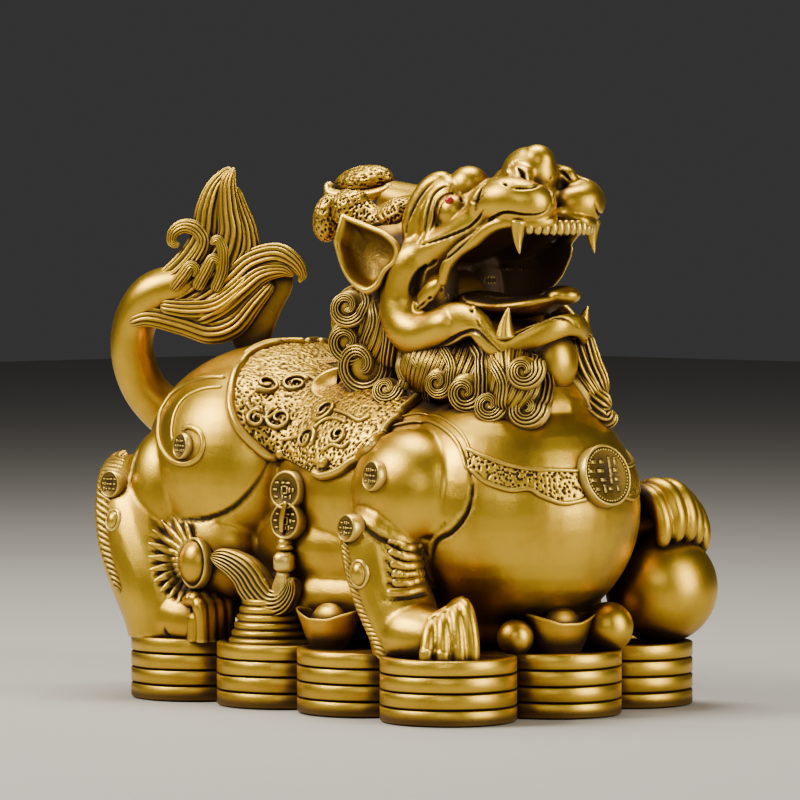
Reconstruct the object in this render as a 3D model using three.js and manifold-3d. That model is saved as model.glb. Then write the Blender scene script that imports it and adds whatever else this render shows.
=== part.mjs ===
// A pixiu, the winged lion of good fortune, cast in brass with the stacks of coins that it stands on.
// Millimetres, +Z up. It looks along +X, and its right flank is on the -Y side.
// The origin is on the underside, at the middle of the coin stacks.
import * as THREE from 'three';
import { mergeVertices } from 'three/addons/utils/BufferGeometryUtils.js';
import Module from 'manifold-3d';

const wasm = await Module();
wasm.setup();

// The base: a ring of ten coin stacks, cast together.
const coinsPerStack = 4;
const coinThickness = 5.5;
const coinGroove = 0.8;
const stackRadius = 23;
const coinFacets = 5;
const sideOverlap = 6;
const cornerOverlap = 4;
const endOverlap = 2;
const sideSetBack = 2;
const endStandOut = 7;
const sidePitch = 2 * stackRadius - sideOverlap;
const cornerX = sidePitch / 2 + 2 * stackRadius - cornerOverlap;
const cornerY = 2 * stackRadius - endOverlap;
const sideY = cornerY - sideSetBack;
const endX = cornerX + endStandOut;
const baseHeight = coinsPerStack * coinThickness;
const footSink = 1;

// The beast is drawn at its own height and ground, and scaled from there to figureHeight.
const figureHeight = 172;
const drawing = { height: 172, ground: 21 };
const unit = figureHeight / drawing.height;

// The red stones set in the eyes.
const stoneRadius = 1.5;
const stoneDepth = 1.6;
const stoneClearance = 0.3;
const stoneSides = 10;
const eyeRadius = 5.6;

// The treasure that lies round it, on the coin stacks.
const orbRadius = 19.5;
const pearlRadii = [6.2, 8.6];
const ingotLength = 27;
const ingotWidth = 14;
const ingotHeight = 16;
const pileRadius = 14.5;
const pileShrink = 1.4;
const pileCoinThickness = 4;
const pileCoins = 4;

// The coins worn on the coat, and the medallion on the chest.
const charmRadius = 5.4;
const hangingRadius = 6.4;
const charmThickness = 2.6;
const medallionRadius = 11.5;
const medallionThickness = 4.5;

const brass = new THREE.MeshStandardMaterial({ color: 0xc9953a, roughness: 0.32, metalness: 1 });
const redStone = new THREE.MeshStandardMaterial({ color: 0xb3122a, roughness: 0.12, metalness: 0 });

const quarterTurn = Math.PI / 2;
// Keeps the facets of mirrored pieces from meeting edge to edge on the middle plane.
const facetTwist = 0.2;
const bothSides = [-1, 1];
const near = -1;
const upright = { out: [1, 0, 0] };

// A point of the drawing, on the finished part.
function place([x, y, z]) {
  return new THREE.Vector3(x * unit, y * unit, baseHeight + (z - drawing.ground) * unit);
}

function mirrored(points, side) {
  return points.map(([x, y, ...rest]) => [x, -side * y, ...rest]);
}

function solid(geometry) {
  geometry.deleteAttribute('normal');
  geometry.deleteAttribute('uv');
  const merged = mergeVertices(geometry, 1e-4);
  return new wasm.Manifold(new wasm.Mesh({
    numProp: 3,
    vertProperties: merged.attributes.position.array,
    triVerts: new Uint32Array(merged.index.array),
  }));
}

function join(pieces) {
  return pieces.reduce((whole, piece) => whole.add(piece));
}

// An egg of the three radii, turned about X, Y and Z in degrees.
function egg(at, radii, turn = [0, 0, 0], around = 8, along = 5) {
  const geometry = new THREE.SphereGeometry(1, around, along);
  geometry.rotateY(facetTwist).rotateX(quarterTurn);
  geometry.scale(...radii.map((radius) => radius * unit));
  geometry.applyQuaternion(new THREE.Quaternion().setFromEuler(
    new THREE.Euler(...turn.map(THREE.MathUtils.degToRad))));
  return solid(geometry.translate(...place(at).toArray()));
}

// A tapering limb through points [x, y, z, radius], with closed ends.
// Along the direction out it is flat times as thick as it is wide.
function limb(points, { out = [0, 0, 1], flat = 1, around = 5, steps = 1, capRings = 1 } = {}) {
  const path = new THREE.CatmullRomCurve3(points.map(place));
  const radii = new THREE.SplineCurve(points.map((point, i) => new THREE.Vector2(i, point[3] * unit)));
  const spans = (points.length - 1) * steps;
  const rings = spans + 2 * capRings;
  const geometry = new THREE.SphereGeometry(1, around, rings).rotateY(facetTwist);
  const position = geometry.attributes.position;
  const vertex = new THREE.Vector3();
  const outward = new THREE.Vector3(...out);
  for (let i = 0; i < position.count; i++) {
    vertex.fromBufferAttribute(position, i);
    const ring = Math.round(Math.acos(THREE.MathUtils.clamp(vertex.y, -1, 1)) / Math.PI * rings);
    const share = THREE.MathUtils.clamp((ring - capRings) / spans, 0, 1);
    const cap = Math.max(capRings - ring, ring - capRings - spans, 0) / capRings * quarterTurn;
    const radius = Math.max(radii.getPoint(share).y, 0.3);
    const tangent = path.getTangent(share);
    const thick = outward.clone().addScaledVector(tangent, -outward.dot(tangent)).normalize();
    const wide = tangent.clone().cross(thick);
    const sideways = ring % rings === 0 ? 0 : Math.cos(cap) * radius / Math.hypot(vertex.x, vertex.z);
    const point = path.getPoint(share)
      .addScaledVector(thick, vertex.x * sideways * flat)
      .addScaledVector(wide, vertex.z * sideways)
      .addScaledVector(tangent, Math.sin(cap) * radius * Math.sign(ring - rings / 2));
    position.setXYZ(i, point.x, point.y, point.z);
  }
  return solid(geometry);
}

// A round disc whose face looks along the given direction.
function disc(at, facing, radius, thickness, around = 8) {
  const geometry = new THREE.CylinderGeometry(radius, radius, thickness, around);
  geometry.applyQuaternion(new THREE.Quaternion().setFromUnitVectors(
    new THREE.Vector3(0, 1, 0), new THREE.Vector3(...facing).normalize()));
  return solid(geometry.translate(...place(at).toArray()));
}

// The stacks in order round the base, from the near rear corner.
function stackCentres() {
  const half = sidePitch / 2;
  return [
    [-cornerX, -cornerY], [-half, -sideY], [half, -sideY], [cornerX, -cornerY], [endX, 0],
    [cornerX, cornerY], [half, sideY], [-half, sideY], [-cornerX, cornerY], [-endX, 0],
  ].map(([x, y]) => new THREE.Vector2(x, y));
}

// The outer point where two neighbouring stacks meet.
function notch(first, second) {
  const middle = first.clone().add(second).multiplyScalar(0.5);
  const across = second.clone().sub(first);
  const reach = Math.sqrt(stackRadius ** 2 - across.lengthSq() / 4);
  return middle.add(new THREE.Vector2(across.y, -across.x).setLength(reach));
}

// The coins are one extrusion of the outline round all the stacks.
function base() {
  const outline = [];
  const inward = [];
  const centres = stackCentres();
  centres.forEach((centre, i) => {
    const from = notch(centres.at(i - 1), centre).sub(centre);
    const to = notch(centre, centres[(i + 1) % centres.length]).sub(centre);
    const arc = new THREE.ArcCurve(centre.x, centre.y, stackRadius, from.angle(), to.angle(), false);
    for (const point of arc.getPoints(coinFacets).slice(1)) {
      outline.push(point);
      inward.push(centre.clone().sub(point).setLength(coinGroove));
    }
  });
  // Each coin swells to its full radius at its middle, and its seams are pinched in.
  const steps = 2 * coinsPerStack;
  const geometry = new THREE.ExtrudeGeometry(new THREE.Shape(outline),
    { depth: steps, steps, bevelEnabled: false });
  const position = geometry.attributes.position;
  for (let i = 0; i < position.count; i++) {
    const ring = Math.round(position.getZ(i));
    const point = new THREE.Vector2(position.getX(i), position.getY(i));
    if (ring % 2 === 0) {
      const corner = outline.findIndex((candidate) => candidate.distanceTo(point) < 1e-3);
      point.add(inward[corner]);
    }
    position.setXYZ(i, point.x, point.y, ring / 2 * coinThickness);
  }
  return solid(geometry);
}

function trunk() {
  const pieces = [
    egg([-62, 0, 85], [43, 54, 38], [0, 0, 0], 12, 7),
    egg([0, 0, 72], [61, 45.5, 42], [0, 0, 0], 10, 6),
    egg([50, 0, 68], [43, 44, 43], [0, 0, 0], 14, 7),
    limb([[50, 0, 80, 37], [52, 0, 98, 29], [50, 0, 113, 23], [44, 0, 124, 12]],
      { ...upright, around: 8 }),
    egg([-14, 0, 36], [66, 54, 24], [0, 0, 0], 8, 4),
  ];
  for (const side of bothSides) {
    pieces.push(
      egg([-56, side * 30, 79], [34, 28, 36], [0, 0, 0], 10, 6),
      egg([37, side * 36, 74.5], [22.5, 19, 21.5], [0, 0, 0], 10, 6),
    );
  }
  return pieces;
}

// A wheel of pointed rays round a boss.
function fan(at, side, radius, rays, thickness) {
  const geometry = new THREE.CylinderGeometry(radius, radius, thickness, 2 * rays);
  const position = geometry.attributes.position;
  for (let i = 0; i < position.count; i++) {
    const ray = Math.round(Math.atan2(position.getZ(i), position.getX(i)) / Math.PI * rays);
    const share = ray % 2 === 0 ? 1 : 0.62;
    position.setX(i, position.getX(i) * share);
    position.setZ(i, position.getZ(i) * share);
  }
  geometry.applyQuaternion(new THREE.Quaternion().setFromUnitVectors(
    new THREE.Vector3(0, 1, 0), new THREE.Vector3(-0.1, side, 0).normalize()));
  return solid(geometry.translate(...place(at).toArray()));
}

function hindLeg(side) {
  const out = [0, side, 0];
  const pieces = [
    limb(mirrored([[-90, -44, 84, 10], [-90, -46, 72, 15], [-82, -49, 55, 18], [-71, -51, 38, 18],
      [-66, -52, 24, 15]], side), { out, around: 7 }),
    egg([-58, side * 43, 50], [25, 15, 22]),
    limb(mirrored([[-66, -52, 30, 11], [-46, -53, 29, 11], [-37, -53, 25, 9]], side)),
  ];
  if (side === near) {
    pieces.push(egg([-48, -58, 49], [7, 5, 8.5], [0, 0, 0], 7, 4), fan([-48, -56, 49], side, 20, 9, 4));
    for (const toe of [0, 1, 2]) {
      const across = -45 - 7 * toe;
      const tip = -33 - 3 * toe;
      pieces.push(limb([[tip - 7, across, 39, 3.5], [tip - 1, across, 36, 3.6], [tip, across, 22, 3.4]],
        upright));
    }
    for (const drop of [0, 9]) {
      pieces.push(limb([[-44, -56, 57 - drop, 4], [-34, -55, 59 - drop, 5], [-24, -53, 49 - drop, 5],
        [-15, -51, 41 - drop, 4.5]], { out, flat: 0.8 }));
    }
  }
  return pieces;
}

function nearForeleg() {
  const pieces = [
    limb([[30, -42, 72, 14], [33, -46, 56, 14.5], [38, -47, 42, 13.5], [47, -48, 26, 12]], { around: 7 }),
    egg([61, -46, 31], [18, 16, 13], [0, 10, 0]),
  ];
  // The toes stand in an arc, out to the rim of the corner stack.
  for (const toe of [0, 1, 2, 3]) {
    const angle = THREE.MathUtils.degToRad(-100 + toe * 27);
    const reach = (r, z, radius) => [58 + r * Math.cos(angle), -42 + r * Math.sin(angle), z, radius];
    pieces.push(limb([reach(10, 37, 4.6), reach(18, 37 + toe, 4.8), reach(22, 22, 4.2)], upright));
  }
  return pieces;
}

function farForeleg() {
  const pieces = [
    limb([[44, 42, 62, 15], [58, 47, 61, 12.5], [72, 51, 65, 10]], { around: 7 }),
  ];
  for (const toe of [0, 1, 2, 3]) {
    const across = 42 + toe * 6.4;
    const reach = 79 - Math.abs(toe - 1.2) * 2;
    pieces.push(limb([[reach - 12, across, 70, 4.2], [reach - 3, across, 71, 4.4],
      [reach + 4, across, 64, 4], [reach + 3, across, 56, 2.6]], upright));
  }
  return pieces;
}

// The tail leaves the rump, swings out to the near side and opens into a flame that meets the back.
function tail() {
  const flame = { out: [0.5, -0.86, 0], flat: 0.7 };
  return [
    limb([[-88, -4, 86, 11], [-104, -10, 92, 9.5], [-114, -19, 103, 8.2], [-117, -24, 116, 7.8],
      [-115, -25, 129, 7.8], [-107, -23, 139, 8.6], [-94, -17, 143, 10], [-82, -13, 144, 12],
      [-72, -11, 148, 10]], { around: 6 }),
    limb([[-88, -15, 143, 9], [-84, -13, 156, 10], [-86, -13, 168, 8], [-86, -13, 177, 5.5],
      [-79, -12, 185, 2]], flame),
    limb([[-80, -13, 148, 8], [-75, -12, 158, 7], [-72, -12, 166, 4]], flame),
    limb([[-100, -18, 143, 6], [-98, -17, 152, 5], [-93, -17, 160, 4], [-96, -18, 165, 3],
      [-99, -19, 161, 2.4]], flame),
    limb([[-86, -15, 140, 9], [-74, -12, 145, 9.5], [-62, -9, 150, 7.5], [-52, -8, 150, 5.5],
      [-47, -8, 145, 2.5]], flame),
    limb([[-65, -9, 147, 9], [-71, -8, 136, 9], [-77, -7, 119, 10]], { ...flame, flat: 0.6 }),
  ];
}

// The rolled border of the saddle cloth, which hangs from the back to a narrow lap on each flank,
// and the knob on the back.
function saddle() {
  const pieces = [egg([-24, 0, 113], [10, 9, 8])];
  const border = (points, side) => limb(mirrored(points, side), { around: 4 });
  for (const side of bothSides) {
    pieces.push(
      border([[-58, -14, 121, 2.2], [-52, -35, 114, 2.2], [-41, -47, 103, 2.2], [-31, -46, 89, 2.2],
        [-22, -41, 86, 3.4]], side),
      border([[23, -29, 100, 2.2], [21, -36, 93, 2.2], [14, -42, 85, 2.2], [2, -44, 80, 2.4],
        [0, -43, 84, 3.2]], side),
    );
  }
  return pieces;
}

// The chest strap with its medallion, and the coins worn on the coat.
function harness() {
  const charm = (at, facing, radius = charmRadius) => disc(at, facing, radius * unit, charmThickness * unit);
  const pieces = [
    disc([91, 0, 79], [1, 0, 0.25], medallionRadius * unit, medallionThickness * unit, 16),
    charm([-62, -57, 88], [-0.2, -1, 0.1]),
    charm([-94, -58, 73], [-0.6, -1, 0]),
    charm([23, -53, 63], [-0.6, -1, 0]),
    // Two coins hang on the near flank, over a knot and a tassel.
    charm([-15, -46, 74], [0, -1, 0], hangingRadius),
    charm([-14, -46, 64], [0, -1, 0], hangingRadius),
    limb([[-14, -46, 56, 2.2], [-15, -48, 50, 4], [-18, -50, 40, 4], [-18, -50, 33, 2.5]]),
  ];
  for (const side of bothSides) {
    pieces.push(
      limb(mirrored([[54, -40, 92, 4], [70, -34, 85, 4.5], [83, -20, 81, 5], [90, -7, 80, 5]], side),
        { out: [1, side, 0], flat: 0.5 }),
      charm([33, side * 52.5, 80], [-0.2, side, 0.2]),
    );
  }
  return pieces;
}

function head() {
  const pieces = [
    egg([6, 0, 150], [28, 24, 25], [0, -20, 0], 10, 6),
    limb([[12, 0, 157, 20], [38, 0, 168, 20], [58, 0, 174, 18], [70, 0, 173, 12]],
      { flat: 0.6, around: 8 }),
    egg([58, 0, 183.5], [9, 9, 9]),
    limb([[18, 0, 131, 18], [44, 0, 130, 21], [66, 0, 129, 16]], { flat: 0.34, around: 8 }),
    limb([[36, 0, 137, 12], [58, 0, 139, 12], [78, 0, 145, 5]], { flat: 0.35 }),
    egg([69, 0, 121], [7, 7, 9.5], [0, 0, 0], 7, 5),
    // The inside of the far cheek closes the back of the mouth.
    egg([40, 16, 148], [20, 5, 13], [0, -35, 0]),
    // The rim of the upper lip, and below it the lower lip, which dips beside each fang.
    rim([[29, -23, 138, 3], [37, -24, 150, 3], [50, -23, 160, 3], [70, -18, 166, 3], [77, -8, 165, 2.6]]),
    rim([[28, -23, 134, 4.5], [38, -24, 139, 5], [50, -24, 134, 4.5], [61, -22, 127, 4],
      [72, -13, 132, 3.6], [77, -4, 135, 3.2]]),
    // Each horn leaves the brow, lies back over the ear and ends in a club. The far one rises higher.
    limb([[16, -10, 168, 5.5], [0, -13, 171, 6.5], [-16, -14, 171, 6], [-27, -14, 169, 4]]),
    egg([-27, -14, 168.5], [7.5, 6.5, 7.5]),
    limb([[14, 10, 168, 5.5], [-6, 12, 171, 6], [-24, 10, 174, 5]]),
    egg([-31, 8, 179], [14, 7, 6.5], [0, -8, 0]),
  ];
  for (const side of bothSides) {
    pieces.push(
      egg([67, side * 14.5, 175], [12, 9, 7], [0, -5, side * -12]),
      limb(mirrored([[24, -20, 165, 4], [26, -18, 175, 5], [38, -13, 180, 6.5], [48, -11, 177, 5]], side)),
      egg([38, side * 18, 171], [eyeRadius, eyeRadius, eyeRadius]),
      egg([22, side * 18, 141], [14, 10, 20], [0, 14, 0]),
      fang([70, side * 17.5, 166], [69.5, side * 18, 155.5]),
      fang([64, side * 18, 129], [66, side * 18, 139]),
      ear(side),
    );
  }
  return pieces;
}

// A lip round the front of a jaw: the points of its near side, and their mirror images.
function rim(points) {
  return limb([...points, ...mirrored(points, -near).reverse()], { around: 4 });
}

// A pointed tooth from its root to its tip.
function fang(root, tip) {
  const from = place(root);
  const along = place(tip).sub(from);
  const geometry = new THREE.ConeGeometry(3.2 * unit, along.length(), 5);
  geometry.translate(0, along.length() / 2, 0);
  geometry.applyQuaternion(new THREE.Quaternion().setFromUnitVectors(
    new THREE.Vector3(0, 1, 0), along.normalize()));
  return solid(geometry.translate(...from.toArray()));
}

// A cupped ear: a bowl turned about its own axis, drawn out to an oval and set facing outwards.
function ear(side) {
  const profile = [[0, -7], [9, -5], [13, 5], [10, 4], [0, -2]]
    .map(([radius, depth]) => new THREE.Vector2(radius * unit, depth * unit));
  const geometry = new THREE.LatheGeometry(profile, 8);
  geometry.scale(0.92, 1, 1.1);
  geometry.applyQuaternion(new THREE.Quaternion().setFromUnitVectors(
    new THREE.Vector3(0, 1, 0), new THREE.Vector3(0.3, side, 0.1).normalize()));
  return solid(geometry.translate(...place([6, side * 27, 155.5]).toArray()));
}

// The locks hang from the head and the jaw and end in curls.
// Each row is [start, middle, curl] with the radius of the lock at each.
const locks = [
  [[4, -19, 151, 6], [-8, -19, 142, 6.5], [-12, -18, 135, 6.5]],
  [[4, -22, 138, 6], [-10, -20, 127, 7], [-15, -18, 120, 6.5]],
  [[12, -25, 130, 6], [8, -28, 118, 7], [8, -28, 109, 6.5]],
  [[30, -25, 126, 6], [34, -29, 117, 7], [38, -31, 109, 6]],
  [[46, -22, 124, 6], [54, -27, 115, 7], [57, -29, 106, 6]],
  [[60, -15, 124, 5], [69, -19, 111, 7], [73, -20, 99, 6.5]],
];

function mane() {
  const pieces = [
    egg([10, 0, 132], [29, 27, 27], [0, -15, 0], 10, 6),
    egg([38, 0, 115], [30, 26, 16], [0, 10, 0]),
  ];
  for (const side of bothSides) {
    for (const lock of locks) {
      pieces.push(limb(mirrored(lock, side), { out: [1, 0, 0] }));
    }
  }
  return pieces;
}

// A boat-shaped ingot with a dome in its middle, standing on the base and turned about Z.
function ingot(x, y, turn) {
  const hull = new THREE.SphereGeometry(1, 8, 5);
  hull.rotateX(quarterTurn);
  const position = hull.attributes.position;
  for (let i = 0; i < position.count; i++) {
    const along = position.getX(i);
    const height = 0.4 + 0.4 * Math.min(position.getZ(i), 0) + 0.45 * along ** 2;
    position.setXYZ(i, along * ingotLength / 2, position.getY(i) * ingotWidth / 2, height * ingotHeight);
  }
  const dome = new THREE.SphereGeometry(1, 6, 4);
  dome.scale(ingotLength / 4, ingotWidth / 3, ingotHeight / 2).translate(0, 0, ingotHeight / 2);
  return [hull, dome].map((piece) => {
    piece.rotateZ(THREE.MathUtils.degToRad(turn));
    return solid(piece.translate(x, y, baseHeight - footSink));
  });
}

function pearl(x, y, radius, around) {
  const geometry = new THREE.SphereGeometry(radius, around, around / 2);
  return solid(geometry.translate(x, y, baseHeight + radius - footSink));
}

// A pile of coins, each smaller than the one under it, turned as one stepped cone.
function coinPile(x, y) {
  const profile = [new THREE.Vector2(0, 0)];
  for (let coin = 0; coin < pileCoins; coin++) {
    const radius = pileRadius - coin * pileShrink;
    profile.push(new THREE.Vector2(radius, coin * pileCoinThickness));
    profile.push(new THREE.Vector2(radius, (coin + 1) * pileCoinThickness));
  }
  profile.push(new THREE.Vector2(0, pileCoins * pileCoinThickness));
  const geometry = new THREE.LatheGeometry(profile, 8).rotateX(quarterTurn);
  return solid(geometry.translate(x, y, baseHeight - footSink));
}

// The treasure is set out on the coin stacks, so that it moves with them.
function treasure() {
  return [
    pearl(cornerX + 10, cornerY + 7, orbRadius, 10),
    pearl(endX + 2, 1 - cornerY / 2, pearlRadii[0], 8),
    pearl(endX + 14, 12, pearlRadii[1], 8),
    ...ingot(endX + 8, -5, 75),
    ...ingot(9, -sideY - 6, 8),
    coinPile(-sidePitch / 2 - 2, -sideY - 4),
  ];
}

// A stone, or the pocket that it sits in: a short round rod at the front of the eyeball.
function eyeRod(side, radius, inner, outer) {
  const facing = new THREE.Vector3(0.5, side * 0.75, 0.43).normalize();
  const geometry = new THREE.CylinderGeometry(radius, radius, outer - inner, stoneSides);
  geometry.translate(0, (inner + outer) / 2, 0);
  geometry.applyQuaternion(new THREE.Quaternion().setFromUnitVectors(new THREE.Vector3(0, 1, 0), facing));
  return geometry.translate(...place([38, side * 18, 171]).toArray());
}

function named(name, geometry, material) {
  const mesh = new THREE.Mesh(geometry, material);
  mesh.name = name;
  return mesh;
}

function geometryOf(whole) {
  const { vertProperties, triVerts } = whole.getMesh();
  const geometry = new THREE.BufferGeometry();
  geometry.setAttribute('position', new THREE.BufferAttribute(vertProperties, 3));
  return geometry.setIndex(new THREE.BufferAttribute(triVerts, 1));
}

// What would hang below the top of the coin stacks is cut off flat there.
function aboveBase(whole) {
  const size = 3 * figureHeight;
  const block = new THREE.BoxGeometry(size, size, size);
  return whole.intersect(solid(block.translate(0, 0, size / 2 + baseHeight - footSink)));
}

const beast = join([trunk(), hindLeg(near), hindLeg(-near), nearForeleg(), farForeleg(), tail(),
  saddle(), harness(), head(), mane()].flat());
const eyeSurface = eyeRadius * unit;
const pocketFloor = eyeSurface - stoneDepth - stoneClearance;
const group = new THREE.Group();
let casting = join([aboveBase(beast), base(), ...treasure()]);
for (const [side, name] of [[-1, 'eye_stone_right'], [1, 'eye_stone_left']]) {
  casting = casting.subtract(solid(eyeRod(side, stoneRadius + stoneClearance, pocketFloor, 2 * eyeSurface)));
  group.add(named(name, eyeRod(side, stoneRadius, pocketFloor + stoneClearance, eyeSurface), redStone));
}
group.add(named('pixiu', geometryOf(casting), brass));

export default group;
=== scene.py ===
import math

import bmesh
import bpy
import numpy as np
from mathutils import Matrix, Vector, noise
from mathutils.bvhtree import BVHTree


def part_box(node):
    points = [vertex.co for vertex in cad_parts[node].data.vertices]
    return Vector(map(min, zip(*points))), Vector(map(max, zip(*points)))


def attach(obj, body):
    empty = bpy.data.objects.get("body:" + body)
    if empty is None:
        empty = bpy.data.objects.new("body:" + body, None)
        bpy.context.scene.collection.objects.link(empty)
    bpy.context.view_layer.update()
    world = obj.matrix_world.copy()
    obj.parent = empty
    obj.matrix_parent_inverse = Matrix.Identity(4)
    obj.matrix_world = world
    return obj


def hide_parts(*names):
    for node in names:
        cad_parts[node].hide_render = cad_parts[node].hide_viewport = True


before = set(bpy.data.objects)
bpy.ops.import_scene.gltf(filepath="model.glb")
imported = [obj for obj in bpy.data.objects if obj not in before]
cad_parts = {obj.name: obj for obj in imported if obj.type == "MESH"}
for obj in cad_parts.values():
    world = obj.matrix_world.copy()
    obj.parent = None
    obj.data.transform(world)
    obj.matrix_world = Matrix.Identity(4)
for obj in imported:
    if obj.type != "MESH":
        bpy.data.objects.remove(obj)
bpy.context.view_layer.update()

# The pixiu is drawn in millimetres, standing at drawnGround. The frame has it on top of the coin stacks.
mm = 0.001
baseTop = 22
drawnGround = 21
footSink = 1      # how far what stands on the stacks sinks in
lift = baseTop - drawnGround

photo = {
    "azimuth": 45, "elevation": 2.2,      # degrees
    "aim": (-2.6, -2.3, 104.7),           # the point at the middle of the picture, mm
    "distance": 1800,                     # mm
    "steps": range(1650, 1950, 5),        # from the camera to the figure's two ends, mm
    "pixelsPerMm": 2.87, "size": 800,
}


# Where the photograph was taken from

def cameraAxes():
    turn, tilt = math.radians(photo["azimuth"]), math.radians(photo["elevation"])
    back = Vector((math.sin(turn) * math.cos(tilt), -math.cos(turn) * math.cos(tilt), math.sin(tilt)))
    right = Vector((math.cos(turn), math.sin(turn), 0))
    return back, right, back.cross(right)


backward, rightward, upward = cameraAxes()
eye = Vector(photo["aim"]) * mm + backward * photo["distance"] * mm
focal = photo["pixelsPerMm"] * photo["distance"]


def sightLine(u, v):
    half = photo["size"] / 2
    return (rightward * (u - half) + upward * (half - v) - backward * focal).normalized()


def at(x, y, z):
    return Vector((x, y, z + lift)) * mm


def onPlane(pixels, point, normal):      # places of picture points on a plane, in drawn mm
    normal = Vector(normal)
    found = []
    for u, v, *rest in pixels:
        ray = sightLine(u, v)
        place = eye + ray * ((at(*point) - eye).dot(normal) / ray.dot(normal))
        found.append([place.x / mm, place.y / mm, place.z / mm - lift, *rest])
    return found


# Smooth lines

def spline(points, count):      # a smooth line through the points, evenly spaced along its length
    p = np.array(points, float)
    p = np.vstack([2 * p[0] - p[1], p, 2 * p[-1] - p[-2]])
    t = np.linspace(0, 1, 24, endpoint=False)[:, None]
    spans = []
    for a, b, c, d in zip(p, p[1:], p[2:], p[3:]):
        square, cube = a - 2.5 * b + 2 * c - d / 2, 1.5 * (b - c) + (d - a) / 2
        spans.append(b + t * ((c - a) / 2 + t * (square + t * cube)))
    line = np.vstack([*spans, p[-2:-1]])
    length = np.concatenate([[0], np.cumsum(np.linalg.norm(np.diff(line[:, :3], axis=0), axis=1))])
    wanted = np.linspace(0, length[-1], count)
    return np.stack([np.interp(wanted, length, column) for column in line.T], 1)


def unitRows(rows):
    return rows / np.maximum(np.linalg.norm(rows, axis=-1, keepdims=True), 1e-12)


def mirrored(points):
    return [[p[0], -p[1], *p[2:]] for p in points]


def bothSides(points):
    return points, mirrored(points)


def eased(share):      # from 0 to 1 with soft ends
    return share * share * (3 - 2 * share)


# Meshes

# the wax layer holds the wax in grooves, cuts and pits, and also painted shade laid in where shade falls,
# such as inside the mouth and over the tail's web
def waxAndShadeLayer(bm):
    return bm.verts.layers.float.get("wax") or bm.verts.layers.float.new("wax")


def gridVerts(bm, along, across):      # the vertices of a new grid, each with its row and column
    for vert in bmesh.ops.create_grid(bm, x_segments=along - 1, y_segments=across - 1, size=1)["verts"]:
        yield vert, round((vert.co.x + 1) / 2 * (along - 1)), round((vert.co.y + 1) / 2 * (across - 1))


def skin(bm, rows, wax=None):      # a closed tube through rows; a row shrunk to a point closes its end
    count, around = rows.shape[:2]
    layer = waxAndShadeLayer(bm)
    verts = []
    for vert, i, j in gridVerts(bm, count, around + 1):
        vert.co = rows[i, j % around]
        if wax is not None:
            vert[layer] = wax[i, j % around]
        verts.append(vert)
    bmesh.ops.remove_doubles(bm, verts=verts, dist=1e-6)


def axesAlong(centre, out):      # outwards and sideways, square to the line
    tangent = unitRows(np.gradient(centre, axis=0))
    out = np.broadcast_to(np.array(out, float), centre.shape)
    out = unitRows(out - tangent * (out * tangent).sum(1, keepdims=True))
    return out, np.cross(tangent, out)


def roundEnds(centre, cap):
    length = np.concatenate([[0], np.cumsum(np.linalg.norm(np.diff(centre, axis=0), axis=1))])
    reach = np.clip(np.minimum(length, length[-1] - length) / cap, 0, 1)
    return length, np.sqrt(1 - (1 - reach) ** 2)


def tube(bm, points, out=(0, 0, 1), flat=1, rings=40, around=20, flutes=0, depth=0, twist=0, cap=1):
    # points are [x, y, z, radius] in drawn mm; flutes are grooves all round it
    line = spline(points, rings)
    centre = (line[:, :3] + [0, 0, lift]) * mm
    radius = np.maximum(line[:, 3:4], 0.15) * mm
    out, side = axesAlong(centre, out)
    length, end = roundEnds(centre, cap * max(radius[0, 0], radius[-1, 0]))
    angle = np.linspace(0, 2 * math.pi, around, endpoint=False)[None]
    ripple = np.abs(np.sin(flutes / 2 * angle + twist * length[:, None] / mm))
    wave = 1 - depth * (1 - ripple)
    reach = radius * end[:, None] * (wave if flutes else 1)
    rows = (centre[:, None] + side[:, None] * (np.cos(angle) * reach)[..., None]
            + out[:, None] * (np.sin(angle) * reach * flat)[..., None])
    skin(bm, rows, np.clip(1 - ripple / 0.55, 0, 1) if flutes else None)


def block(bm, matrix, size):      # a block of this size in mm, about the matrix's own middle
    shape = Matrix.Diagonal((*(length * mm for length in size), 1))
    return bmesh.ops.create_cube(bm, size=1, matrix=matrix @ shape)["verts"]


def ball(bm, matrix, radii, around=48):      # an egg of these radii in mm, about the matrix's own middle
    shape = Matrix.Diagonal((*(radius * mm for radius in radii), 1))
    bmesh.ops.create_uvsphere(bm, u_segments=around, v_segments=around // 2, radius=1, matrix=matrix @ shape)


def egg(bm, place, radii, turn=(0, 0, 0), around=48):
    turned = Matrix.Identity(3)
    for axis, degrees in zip("XYZ", turn):
        turned = turned @ Matrix.Rotation(math.radians(degrees), 3, axis)
    ball(bm, Matrix.Translation(at(*place)) @ turned.to_4x4(), radii, around)


def eggPair(bm, place, radii, turn=(0, 0, 0)):
    for side in (1, -1):
        egg(bm, (place[0], side * place[1], place[2]), radii, turn)


def ribbon(bm, centre, out, wide, high, ridges=1, groove=0, slant=0, sink=0.5, perRidge=6):
    # a band lying on a surface: half width wide, height high over its middle, closed underneath
    out, side = axesAlong(centre, out)
    wide, high = (np.broadcast_to(np.array(size, float), len(centre)) * mm for size in (wide, high))
    length, end = roundEnds(centre, wide.max())
    across = np.sin(np.linspace(-1, 1, perRidge * ridges + 3) * math.pi / 2)[None]
    ripple = np.abs(np.sin(math.pi * ridges * (across + 1) / 2 + slant * length[:, None] / mm))
    wave = 1 - groove * (1 - ripple)
    top = np.sqrt(1 - across ** 2) * wave * high[:, None]
    under = np.array([[0.8, 0, -0.8]])
    sideways = np.hstack([across.repeat(len(centre), 0), under.repeat(len(centre), 0)]) * wide[:, None]
    outwards = np.hstack([top, -sink * high[:, None].repeat(3, 1)])
    rows = (centre[:, None] + side[:, None] * (sideways * end[:, None])[..., None]
            + out[:, None] * (outwards * end[:, None])[..., None])
    wax = np.clip(1 - ripple / 0.6, 0, 1) if groove else np.zeros(ripple.shape)
    skin(bm, rows, np.hstack([wax, np.ones((len(centre), 3)) * bool(groove)]))


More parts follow.
